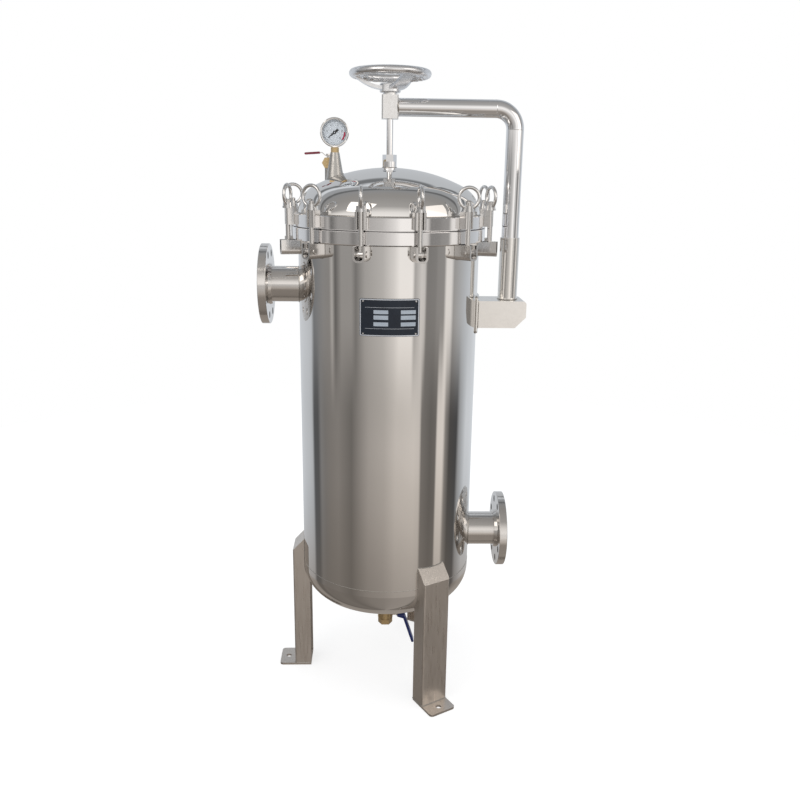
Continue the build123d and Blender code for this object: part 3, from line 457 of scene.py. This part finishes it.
weld("head_weld", [circle(shell_r - 0.3 * mm, shell_low.z)], small_bead, "housing", closed=True)
weld("flange_weld", [circle(shell_r, shell_high.z - 0.5 * mm)], flange_bead, "housing", closed=True)
dome_line = circle(shell_r, cover_flange_high.z + 0.3 * mm)
weld("dome_weld", [dome_line], flange_bead, "cover", closed=True)
weld("inlet_weld", [saddle(-1, inlet_z)], nozzle_bead, "housing", closed=True)
weld("outlet_weld", [saddle(1, outlet_z)], nozzle_bead, "housing", closed=True)
weld("socket_weld", [circle(socket_high.y, socket_high.z)], davit_bead, "housing", closed=True)
weld("boss_weld", [on_crown(0, 0, boss_r)], 1.5 * mm, "cover", closed=True)
pipe_feet = [
    on_crown(gauge_x, 0, gauge_pipe_foot_r), on_crown(vent_place[0], vent_place[1], vent_pipe_r)
]
weld("cover_pipe_welds", pipe_feet, pipe_bead, "cover", closed=True)

# ---------------------------------------------------------------- welds of the legs


def leg_weld_line():
    """Up one side of a leg against the head and shell, over its sloping cap, and down again."""
    knuckle_x = shell_r - knuckle_r
    tangent = shell_low.z - head_skirt
    lowest = tangent - sqrt(knuckle_r**2 - (sqrt(leg_inner_r**2 + leg_half**2) - knuckle_x) ** 2)
    side = []
    steps = 6
    for number in range(steps):
        height = lowest + (tangent - lowest) * number / steps
        radius = knuckle_x + sqrt(knuckle_r**2 - (tangent - height) ** 2)
        side.append(on_shell(leg_half, height, radius))
    corner = on_shell(leg_half, 0)
    side.append(on_shell(leg_half, leg_top + (leg_web_r - corner.x) * leg_cap_slope))
    over = []
    for number in range(1, 8):
        y = leg_half - 2 * leg_half * number / 8
        edge = on_shell(y, 0)
        over.append(on_shell(y, leg_top + (leg_web_r - edge.x) * leg_cap_slope))
    other = [Vector((p.x, -p.y, p.z)) for p in reversed(side)]
    return side + over + other


def foot_weld_line():
    """Round a leg where it stands on its foot."""
    inset = 4 * mm
    corners = [
        (leg_inner_r, leg_half), (leg_web_r - inset, leg_half), (leg_web_r, leg_half - inset),
        (leg_web_r, inset - leg_half), (leg_web_r - inset, -leg_half), (leg_inner_r, -leg_half),
    ]
    return [Vector((x, y, foot_top + 0.4 * mm)) for x, y in corners]


for number, azimuth in enumerate(leg_azimuths, 1):
    weld(f"leg_weld_{number}", [turned(leg_weld_line(), azimuth)], leg_bead, "housing")
    weld(f"foot_weld_{number}", [turned(foot_weld_line(), azimuth)], leg_bead, "housing")

# ---------------------------------------------------------------- welds of the bolts' brackets


def ear_weld_line():
    """A bolt bracket's U against the shell."""
    points = [on_shell(ear_half, shell_high.z - 2 * mm)]
    for number in range(7):
        turn = pi / 2 * number / 6
        y = ear_half - ear_round + ear_round * cos(turn)
        points.append(on_shell(y, ear_low + ear_round - ear_round * sin(turn)))
    return points + [Vector((p.x, -p.y, p.z)) for p in reversed(points)]


def lug_weld_line(side):
    """One upright edge of a cover lug against the flange's rim."""
    heights = (cover_flange_low.z + 5 * mm, cover_flange_high.z - 1.5 * mm)
    return [on_shell(side * lug_half, height, flange_r) for height in heights]


ear_lines = [turned(ear_weld_line(), azimuth) for azimuth in bolt_azimuths]
weld("bracket_welds", ear_lines, small_bead, "housing")
lug_lines = [
    turned(lug_weld_line(side), azimuth) for azimuth in bolt_azimuths for side in (-1, 1)
]
weld("lug_welds", lug_lines, small_bead, "cover")

# ---------------------------------------------------------------- welds of the davit


def box_line(half, low, high, corner, radius):
    """A rounded frame on a cylinder about the vessel's axis, towards +X."""
    points = []
    for side_y, side_z, start in ((1, 1, 0), (-1, 1, 90), (-1, -1, 180), (1, -1, 270)):
        middle_y = side_y * (half - corner)
        middle_z = high - corner if side_z > 0 else low + corner
        for number in range(5):
            turn = radians(start + 90 * number / 4)
            y, z = middle_y + corner * cos(turn), middle_z + corner * sin(turn)
            points.append(on_shell(y, z, radius))
    return points


pad_top = bracket_box_high + pad_above_box
pad_line = box_line(bracket_high.y, bracket_low.z, pad_top, 6 * mm, shell_r + 0.5 * mm)
box_edge = box_line(
    bracket_half, bracket_box_low, bracket_box_high, 2 * mm, shell_r + pad_thickness
)
sleeve_line = circle(sleeve_r, bracket_box_high + 0.5 * mm, x=post_x)
arm_line = side_circle(davit_r - 1.4 * mm, arm_low.x + 0.5 * mm, arm_z)
weld("pad_weld", [pad_line], davit_bead, "housing", closed=True)
weld("davit_box_weld", [box_edge], davit_bead, "housing", closed=True)
weld("sleeve_weld", [sleeve_line], davit_bead, "housing", closed=True)
weld("arm_weld", [arm_line], flange_bead, "housing", closed=True)
seams = [
    side_circle(davit_r - 0.3 * mm, post_x - davit_bend_r, arm_z),
    circle(davit_r - 0.3 * mm, arm_z - davit_bend_r, x=post_x),
]
weld("davit_seams", seams, 0.75 * mm, "housing", closed=True, material=pipe_steel)

# ---------------------------------------------------------------- threads and nuts


def add_thread(bm, x, y, low, high, radius, pitch, depth):
    """A thread's ridge, wound up a rod."""
    root, crest = radius - depth, radius + depth * 0.6
    points = [(root, -pitch * 0.4), (crest, 0), (root, pitch * 0.4)]
    profile = [bm.verts.new((x + r, y, low + z)) for r, z in points]
    face = bm.faces.new(profile)
    steps_each = 14
    turns = int((high - low) / pitch)
    bmesh.ops.spin(
        bm, geom=profile + list(face.edges) + [face], cent=(x, y, 0), axis=(0, 0, 1),
        dvec=(0, 0, pitch / steps_each), angle=tau * turns, steps=turns * steps_each,
    )


def add_hex(bm, low, height, across_flats):
    """A hexagon nut with its corners eased, its axis upright through the origin."""
    radius = across_flats / 2 / cos(radians(30))
    made = bmesh.ops.create_cone(
        bm, cap_ends=True, segments=6, radius1=radius, radius2=radius, depth=height,
        matrix=Matrix.Translation((0, 0, low + height / 2)),
    )["verts"]
    flat = 1e-7
    rims = [
        edge for edge in bm.edges
        if all(vert in made for vert in edge.verts)
        and abs(edge.verts[0].co.z - edge.verts[1].co.z) < flat
    ]
    bmesh.ops.bevel(
        bm, geom=rims, offset=height * 0.12, segments=2, profile=0.5, affect="EDGES", material=-1
    )


thread_low, thread_high = nut_low + 1 * mm, bolt_tip - 1.4 * mm
for number in range(1, bolt_count + 1):
    place = joints[f"bolt_swing_{number:02d}"]["pos_m"]
    bm = bmesh.new()
    add_thread(bm, place[0], place[1], thread_low, thread_high, bolt_r, bolt_pitch, 0.3 * mm)
    bmesh.ops.recalc_face_normals(bm, faces=bm.faces)
    piece(f"bolt_thread_{number:02d}", bm, lug_steel, f"swing_bolt_{number:02d}")


def lever_nut(name, place, direction, reach, across_flats, height, body):
    """A hexagon nut that holds a valve's lever on its stem."""
    bm = bmesh.new()
    add_hex(bm, reach, height, across_flats)
    turn = Vector((0, 0, 1)).rotation_difference(Vector(direction)).to_matrix().to_4x4()
    bmesh.ops.transform(bm, matrix=Matrix.Translation(place) @ turn, verts=bm.verts)
    bmesh.ops.recalc_face_normals(bm, faces=bm.faces)
    piece(name, bm, lug_steel, body)


lever_nut("vent_lever_nut", vent_place, (0, 0, 1), 18 * mm, 10 * mm, 4 * mm, "vent_lever")
lever_nut("drain_lever_nut", drain_place, (1, 0, 0), 31.2 * mm, 13 * mm, 5 * mm, "drain_lever")

# ---------------------------------------------------------------- handwheel


def finger_grips():
    """The wheel rim's underside, scalloped for the fingers."""
    minor = wheel_rim_d / 2
    rim_r = wheel_high.y - minor
    rim_z = wheel_high.z - minor
    lobes = 30
    sunk = 0.02
    swell = 0.13
    bm = bmesh.new()
    loop = bmesh.ops.create_circle(bm, segments=14, radius=minor)["verts"]
    stand = Matrix.Translation((rim_r, 0, rim_z)) @ Matrix.Rotation(pi / 2, 4, "X")
    bmesh.ops.transform(bm, matrix=stand, verts=loop)
    edges = list({edge for vert in loop for edge in vert.link_edges})
    bmesh.ops.spin(
        bm, geom=loop + edges, cent=(0, 0, 0), axis=(0, 0, 1), angle=tau, steps=lobes * 8, use_merge=True
    )
    bmesh.ops.remove_doubles(bm, verts=bm.verts, dist=1e-6)
    for vert in bm.verts:
        turn = atan2(vert.co.y, vert.co.x)
        middle = Vector((rim_r * cos(turn), rim_r * sin(turn), rim_z))
        out = vert.co - middle
        inward = -(out.x * cos(turn) + out.y * sin(turn)) / minor
        down = -out.z / minor
        under = max(0.0, (inward + down) / sqrt(2))
        lobe = abs(sin(lobes * turn / 2)) ** 0.6
        vert.co = middle + out * (1 - sunk * (1 - under) + swell * under * lobe)
    bmesh.ops.recalc_face_normals(bm, faces=bm.faces)
    piece("wheel_finger_grips", bm, cast_steel, "handwheel")


finger_grips()

# ---------------------------------------------------------------- nameplate

plate_r = -plate_low.y
plate_width = plate_high.x - plate_low.x
plate_height = plate_high.z - plate_low.z


def plate_sheet(bm, left, right, low, high, corner, thickness, frame_width=0.0):
    """A thin raised field on the curved nameplate, or a frame of that outline. left, right, low
    and high are shares of the plate from its left and lower edges."""
    made = bmesh.new()
    bmesh.ops.create_grid(made, x_segments=1, y_segments=1, size=0.5)
    middle_x = plate_low.x + plate_width * (left + right) / 2
    middle_z = plate_low.z + plate_height * (low + high) / 2
    stand = Matrix.Translation((middle_x, 0, middle_z))
    size = Matrix.Diagonal((plate_width * (right - left), 1, plate_height * (high - low), 1))
    upright = Matrix.Rotation(pi / 2, 4, "X")
    bmesh.ops.transform(made, matrix=stand @ size @ upright, verts=made.verts)
    bmesh.ops.bevel(
        made, geom=list(made.verts), offset=corner, segments=4, profile=0.5, affect="VERTICES",
        material=-1,
    )
    if frame_width:
        whole = list(made.faces)
        rim = bmesh.ops.inset_individual(made, faces=whole, thickness=frame_width)["faces"]
        middle = [face for face in made.faces if face not in rim]
        bmesh.ops.delete(made, geom=middle, context="FACES")
    cuts = 16
    for number in range(1, cuts):
        x = plate_low.x + plate_width * number / cuts
        everything = list(made.verts) + list(made.edges) + list(made.faces)
        bmesh.ops.bisect_plane(
            made, geom=everything, plane_co=(x, 0, 0), plane_no=(1, 0, 0), dist=1e-7
        )
    raised = bmesh.ops.extrude_face_region(made, geom=list(made.faces))["geom"]
    front = {v for v in raised if isinstance(v, bmesh.types.BMVert)}
    for vert in made.verts:
        depth = thickness if vert in front else -0.1 * mm
        vert.co.y = -sqrt((plate_r + depth) ** 2 - vert.co.x**2)
    bmesh.ops.recalc_face_normals(made, faces=made.faces)
    mesh = bpy.data.meshes.new("field")
    made.to_mesh(mesh)
    made.free()
    add_mesh(bm, mesh)


bm = bmesh.new()
plate_sheet(bm, 0.006, 0.994, 0.01, 0.99, 3.5 * mm, 0.25 * mm, frame_width=2.2 * mm)
piece("nameplate_border", bm, plate_silver, "housing")
bm = bmesh.new()
for left, right in ((0.234, 0.477), (0.687, 0.935)):
    for low, high in ((0.60, 0.70), (0.45, 0.56), (0.275, 0.38)):
        plate_sheet(bm, left, right, low, high, 0.5 * mm, 0.12 * mm)
piece("nameplate_fields", bm, plate_box, "housing")
bm = bmesh.new()
for low, high in ((0.765, 0.772), (0.205, 0.212)):
    plate_sheet(bm, 0.09, 0.91, low, high, 0.1 * mm, 0.08 * mm)
piece("nameplate_rules", bm, plate_silver, "housing")

# ---------------------------------------------------------------- gauge face

dial_start = 225.0
dial_sweep = 270.0


def dial_point(radius, angle, depth=0.0):
    """A point on the dial, its angle in degrees from +X towards +Z."""
    turn = radians(angle)
    return Vector((gauge_x + radius * cos(turn), dial_y - depth, gauge_z + radius * sin(turn)))


def add_arc(bm, inner, outer, start, sweep, steps, thickness=0.15 * mm):
    """A flat arc on the dial."""
    edge = [bm.verts.new(dial_point(radius, start)) for radius in (inner, outer)]
    line = bm.edges.new(edge)
    before = set(bm.faces)
    bmesh.ops.spin(
        bm, geom=edge + [line], cent=(gauge_x, dial_y, gauge_z), axis=(0, -1, 0),
        angle=radians(sweep), steps=steps,
    )
    faces = [face for face in bm.faces if face not in before]
    raised = bmesh.ops.extrude_face_region(bm, geom=faces)["geom"]
    front = [v for v in raised if isinstance(v, bmesh.types.BMVert)]
    bmesh.ops.translate(bm, vec=(0, -thickness, 0), verts=front)


def add_number(bm, text, radius, angle, size):
    """A number on the dial."""
    letters = bpy.data.curves.new("number", "FONT")
    letters.body = text
    letters.size = size
    letters.align_x = "CENTER"
    letters.align_y = "CENTER"
    letters.extrude = 0.08 * mm
    holder = bpy.data.objects.new("number", letters)
    scene.collection.objects.link(holder)
    mesh = bpy.data.meshes.new_from_object(holder)
    stand = Matrix.Translation(dial_point(radius, angle, 0.1 * mm))
    mesh.transform(stand @ Matrix.Rotation(pi / 2, 4, "X"))
    add_mesh(bm, mesh)
    bpy.data.objects.remove(holder)
    bpy.data.curves.remove(letters)


bm = bmesh.new()
marks = 50
for number in range(marks + 1):
    angle = dial_start - dial_sweep * number / marks
    inner, width = (22.2 * mm, 1.3) if number % 5 == 0 else (24.2 * mm, 0.7)
    add_arc(bm, inner, 26.6 * mm, angle - width / 2, width, 1)
add_arc(bm, 26.4 * mm, 26.8 * mm, dial_start - dial_sweep, dial_sweep, 60)
for number in range(6):
    angle = dial_start - dial_sweep * number / 5
    add_number(bm, str(2 * number), 18.2 * mm, angle, 5 * mm)
bmesh.ops.recalc_face_normals(bm, faces=bm.faces)
piece("dial_marks", bm, dial_black, "cover")
bm = bmesh.new()
add_arc(bm, 22.6 * mm, 26.2 * mm, -42, 44, 14, thickness=0.2 * mm)
bmesh.ops.recalc_face_normals(bm, faces=bm.faces)
piece("dial_red_arc", bm, dial_red, "cover")


def spun_about_gauge(points):
    """A ring about the gauge's axis, from a closed outline of radius and y."""
    bm = bmesh.new()
    outline = [bm.verts.new((gauge_x + radius, y, gauge_z)) for radius, y in points]
    loop = [bm.edges.new(pair) for pair in zip(outline, outline[1:] + outline[:1])]
    bmesh.ops.spin(
        bm, geom=outline + loop, cent=(gauge_x, 0, gauge_z), axis=(0, 1, 0), angle=tau, steps=72,
        use_merge=True,
    )
    bmesh.ops.remove_doubles(bm, verts=bm.verts, dist=1e-6)
    bmesh.ops.recalc_face_normals(bm, faces=bm.faces)
    return bm


case_r = (case_high.x - case_low.x) / 2
lip = [
    (case_r - 4.4 * mm, case_low.y + 0.2 * mm), (case_r - 3.4 * mm, case_low.y - 0.9 * mm),
    (case_r - 1.4 * mm, case_low.y - 1.2 * mm), (case_r + 0.2 * mm, case_low.y - 0.3 * mm),
    (case_r + 0.6 * mm, case_low.y + 1.6 * mm), (case_r + 0.6 * mm, case_low.y + 5.6 * mm),
    (case_r - 0.1 * mm, case_low.y + 6.4 * mm), (case_r - 0.4 * mm, case_low.y + 2 * mm),
]
piece("gauge_bezel", spun_about_gauge(lip), bright_ring, "cover")

# ---------------------------------------------------------------- felt bags


def add_bag(bm, x, y, radius, low, rim, rim_r):
    """A felt bag hung in its basket: a sewn round bottom, a wrinkled wall and a rolled rim."""
    wall = 2.5 * mm
    sew = 22 * mm
    crease_depth = 0.018
    outline = [(0.0, low)]
    for number in range(7):
        turn = pi / 2 * number / 6
        outline.append((radius - sew + sew * sin(turn), low + sew - sew * cos(turn)))
    folds = 24
    for number in range(1, folds + 1):
        outline.append((radius, low + sew + (rim - low - sew) * number / folds))
    outline += [
        (rim_r - 1.5 * mm, rim), (rim_r, rim + 1.5 * mm), (rim_r - 0.6 * mm, bags_high.z - 0.8 * mm),
        (rim_r - 2 * mm, bags_high.z), (radius - wall + 1 * mm, bags_high.z),
        (radius - wall, bags_high.z - 1.5 * mm), (radius - wall, low + sew), (0.0, low + wall),
    ]
    made = bmesh.new()
    line = [made.verts.new((r, 0, z)) for r, z in outline]
    edges = [made.edges.new(pair) for pair in zip(line, line[1:])]
    bmesh.ops.spin(
        made, geom=line + edges, cent=(0, 0, 0), axis=(0, 0, 1), angle=tau, steps=72, use_merge=True
    )
    bmesh.ops.remove_doubles(made, verts=made.verts, dist=1e-6)
    for vert in made.verts:
        if low + sew < vert.co.z < rim - 5 * mm:
            turn = atan2(vert.co.y, vert.co.x)
            height = (vert.co.z - low) / (rim - low)
            crease = 0.5 + 0.5 * sin(7 * turn + 9 * height) * sin(30 * height + 2 * sin(turn))
            vert.co.x *= 1 - crease_depth * crease
            vert.co.y *= 1 - crease_depth * crease
    bmesh.ops.translate(made, vec=(x, y, 0), verts=made.verts)
    bmesh.ops.recalc_face_normals(made, faces=made.faces)
    mesh = bpy.data.meshes.new("bag")
    made.to_mesh(mesh)
    made.free()
    add_mesh(bm, mesh)


bag_pitch_r = -bags_low.x - bag_rim_r
bm = bmesh.new()
for number in range(bag_count):
    azimuth = radians(60 + 360 / bag_count * number)
    x, y = bag_pitch_r * cos(azimuth), bag_pitch_r * sin(azimuth)
    add_bag(bm, x, y, bag_r, bags_low.z + 0.2 * mm, bags_high.z - 5 * mm, bag_rim_r)
felt_bags = piece("felt_bags", bm, white_felt, "housing")
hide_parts("filter_bags")

# ---------------------------------------------------------------- floor, light and camera


def build_floor():
    """A white floor that keeps the object's shadow and is plain to everything but the camera."""
    bm = bmesh.new()
    bmesh.ops.create_circle(bm, cap_ends=True, segments=96, radius=3.0)
    mesh = bpy.data.meshes.new("floor")
    bm.to_mesh(mesh)
    bm.free()
    floor = bpy.data.objects.new("floor", mesh)
    floor.visible_glossy = False
    scene.collection.objects.link(floor)
    material = bpy.data.materials.new("white_floor")
    material.use_nodes = True
    tree = material.node_tree
    tree.nodes.clear()
    output = tree.nodes.new("ShaderNodeOutputMaterial")
    matt = tree.nodes.new("ShaderNodeBsdfDiffuse")
    matt.inputs["Color"].default_value = (0.42, 0.42, 0.42, 1)
    glow = tree.nodes.new("ShaderNodeEmission")
    glow.inputs["Strength"].default_value = 0.72
    seen = tree.nodes.new("ShaderNodeAddShader")
    plain = tree.nodes.new("ShaderNodeBsdfDiffuse")
    plain.inputs["Color"].default_value = (0.62, 0.60, 0.58, 1)
    paths = tree.nodes.new("ShaderNodeLightPath")
    choice = tree.nodes.new("ShaderNodeMixShader")
    tree.links.new(matt.outputs[0], seen.inputs[0])
    tree.links.new(glow.outputs[0], seen.inputs[1])
    link(tree, paths, "Is Camera Ray", choice, "Fac")
    tree.links.new(plain.outputs[0], choice.inputs[1])
    tree.links.new(seen.outputs[0], choice.inputs[2])
    tree.links.new(choice.outputs[0], output.inputs["Surface"])
    mesh.materials.append(material)


# What polished steel mirrors, all round the studio: azimuths in degrees from +X with the
# brightness there, for the walls at eye level and lower down
upper_walls = [
    (-180, 0.27), (-170, 0.27), (-166, 0.46), (-161, 0.13), (-152, 0.33), (-138, 0.33), (-132, 0.20),
    (-120, 0.40), (-98, 0.51), (-84, 0.73), (-77, 0.92), (-61, 0.92), (-58, 0.42), (-49, 0.66),
    (-45, 0.60), (-42, 0.22), (-30, 0.24), (-27, 0.28), (-17, 0.30), (-13, 0.80), (-5, 0.78), (0, 0.36),
    (20, 0.50), (38, 0.62), (58, 0.72), (98, 0.66), (140, 0.60), (154, 0.56), (160, 0.20), (172, 0.24),
]
lower_walls = [
    (-180, 0.20), (-158, 0.24), (-138, 0.16), (-115, 0.38), (-95, 0.46), (-80, 0.60), (-56, 0.66),
    (-48, 0.62), (-45, 0.20), (-32, 0.14), (-24, 0.16), (-21, 0.72), (-12, 0.74), (-8, 0.26), (0, 0.08),
    (14, 0.07), (20, 0.34), (38, 0.66), (80, 0.70), (120, 0.62), (145, 0.56), (152, 0.50), (157, 0.10),
    (166, 0.10), (172, 0.22),
]
# The ceiling's beams and lit strips run from side to side: degrees up from the horizon behind the
# vessel, over the top and down to the horizon in front, with the brightness there
ceiling = [
    (0, 0.58), (38, 0.56), (41, 0.20), (45, 0.20), (48, 0.74), (53, 0.74), (56, 0.38), (66, 0.36),
    (69, 0.15), (72, 0.15), (76, 0.30), (105, 0.32), (140, 0.40), (160, 0.85), (180, 1.0),
]


def greys(bands, low, high, closed=False):
    """Stops of a ramp from bands of brightness between two ends. A closed one ends as it starts."""
    stops = [((place - low) / (high - low), (value, value, value)) for place, value in bands]
    if closed:
        stops.append((1.0, stops[0][1]))
    return stops


def build_world():
    """White to the camera, soft even light on everything, and a studio's walls, floor and ceiling
    for polished metal to mirror."""
    world = bpy.data.worlds.new("studio")
    scene.world = world
    world.use_nodes = True
    tree = world.node_tree
    tree.nodes.clear()
    make = tree.nodes.new
    output = make("ShaderNodeOutputWorld")
    coordinates = make("ShaderNodeTexCoord")
    split = make("ShaderNodeSeparateXYZ")
    link(tree, coordinates, "Generated", split, "Vector")

    def maths(operation, *sources):
        node = make("ShaderNodeMath")
        node.operation = operation
        for number, source in enumerate(sources):
            if isinstance(source, (int, float)):
                node.inputs[number].default_value = source
            else:
                tree.links.new(source, node.inputs[number])
        return node.outputs[0]

    def between(source, low, high):
        node = make("ShaderNodeMapRange")
        node.interpolation_type = "SMOOTHSTEP"
        node.inputs["From Min"].default_value = low
        node.inputs["From Max"].default_value = high
        tree.links.new(source, node.inputs["Value"])
        return node.outputs["Result"]

    def blend(share, first, second, mode="MIX"):
        node = make("ShaderNodeMix")
        node.data_type = "RGBA"
        node.blend_type = mode
        colour_inputs = [socket for socket in node.inputs if socket.type == "RGBA"]
        sockets = (node.inputs[0], *colour_inputs)
        for socket, source in zip(sockets, (share, first, second)):
            if isinstance(source, (int, float)):
                socket.default_value = source
            elif isinstance(source, tuple):
                socket.default_value = (*source, 1)
            else:
                tree.links.new(source, socket)
        return [socket for socket in node.outputs if socket.type == "RGBA"][0]

    around = maths("DIVIDE", maths("ARCTAN2", split.outputs["Y"], split.outputs["X"]), tau)
    around = maths("ADD", around, 0.5)
    rise = maths("MULTIPLY", maths("ARCSINE", split.outputs["Z"]), degrees(1))
    over = maths("DIVIDE", maths("ARCTAN2", split.outputs["Z"], split.outputs["Y"]), pi)
    upper = colour_ramp(tree, around, greys(upper_walls, -180, 180, closed=True))
    lower = colour_ramp(tree, around, greys(lower_walls, -180, 180, closed=True))
    above = colour_ramp(tree, over, greys(ceiling, 0, 180))
    ground = blend(0.3, (0.16, 0.155, 0.15), lower)
    mirrored = blend(between(rise, -34, -18), ground, lower)
    mirrored = blend(between(rise, -17, -9), mirrored, upper)
    mirrored = blend(between(rise, 0, 7), mirrored, above)
    warmth = blend(between(rise, -30, 0), (1.0, 0.90, 0.81), (1.0, 0.965, 0.93))
    cool = maths("MULTIPLY", between(split.outputs["Y"], -0.2, 0.5), between(rise, -32, -22))
    tint = blend(cool, warmth, (0.96, 1.0, 1.05))
    mirrored = blend(1.0, mirrored, tint, "MULTIPLY")

    def background(colour):
        node = make("ShaderNodeBackground")
        if isinstance(colour, tuple):
            node.inputs["Color"].default_value = (*colour, 1)
        else:
            tree.links.new(colour, node.inputs["Color"])
        return node.outputs[0]

    def choose(share, first, second):
        node = make("ShaderNodeMixShader")
        tree.links.new(share, node.inputs[0])
        tree.links.new(first, node.inputs[1])
        tree.links.new(second, node.inputs[2])
        return node.outputs[0]

    paths = make("ShaderNodeLightPath")
    soft_light = background((0.80, 0.81, 0.83))
    light = choose(paths.outputs["Is Glossy Ray"], soft_light, background(mirrored))
    seen = maths("MAXIMUM", paths.outputs["Is Camera Ray"], paths.outputs["Is Transmission Ray"])
    tree.links.new(choose(seen, light, background((1, 1, 1))), output.inputs["Surface"])


def area_light(name, place, target, size, power):
    """A square soft lamp at a place, aimed at a target, a little warm."""
    lamp = bpy.data.lights.new(name, "AREA")
    lamp.color = (1.0, 0.93, 0.86)
    lamp.size = size
    lamp.energy = power
    obj = bpy.data.objects.new(name, lamp)
    scene.collection.objects.link(obj)
    obj.location = place
    obj.rotation_euler = (Vector(target) - Vector(place)).to_track_quat("-Z", "Y").to_euler()


def build_camera():
    """Eye level a little over the cover, looking down at the vessel."""
    down, aside, roll = radians(15.38), radians(-1.81), radians(0.79)
    forward = Vector((-sin(aside) * cos(down), cos(aside) * cos(down), -sin(down)))
    right = Vector((cos(aside), sin(aside), 0))
    up = right.cross(forward)
    level_right = right * cos(roll) + up * sin(roll)
    level_up = up * cos(roll) - right * sin(roll)
    camera = bpy.data.cameras.new("camera")
    camera.sensor_width = 36
    camera.lens = 36.25
    obj = bpy.data.objects.new("camera", camera)
    scene.collection.objects.link(obj)
    turn = Matrix((level_right, level_up, -forward)).transposed()
    obj.matrix_world = Matrix.Translation((-0.0312, -2.0497, 1.3337)) @ turn.to_4x4()
    scene.camera = obj


build_floor()
build_world()
area_light("key_light", (-1.8, -2.2, 3.0), (0, 0, 0.9), 1.7, 12)
area_light("fill_light", (2.4, -1.6, 2.2), (0, 0, 0.8), 1.8, 8)
build_camera()
scene.view_settings.view_transform = "Standard"
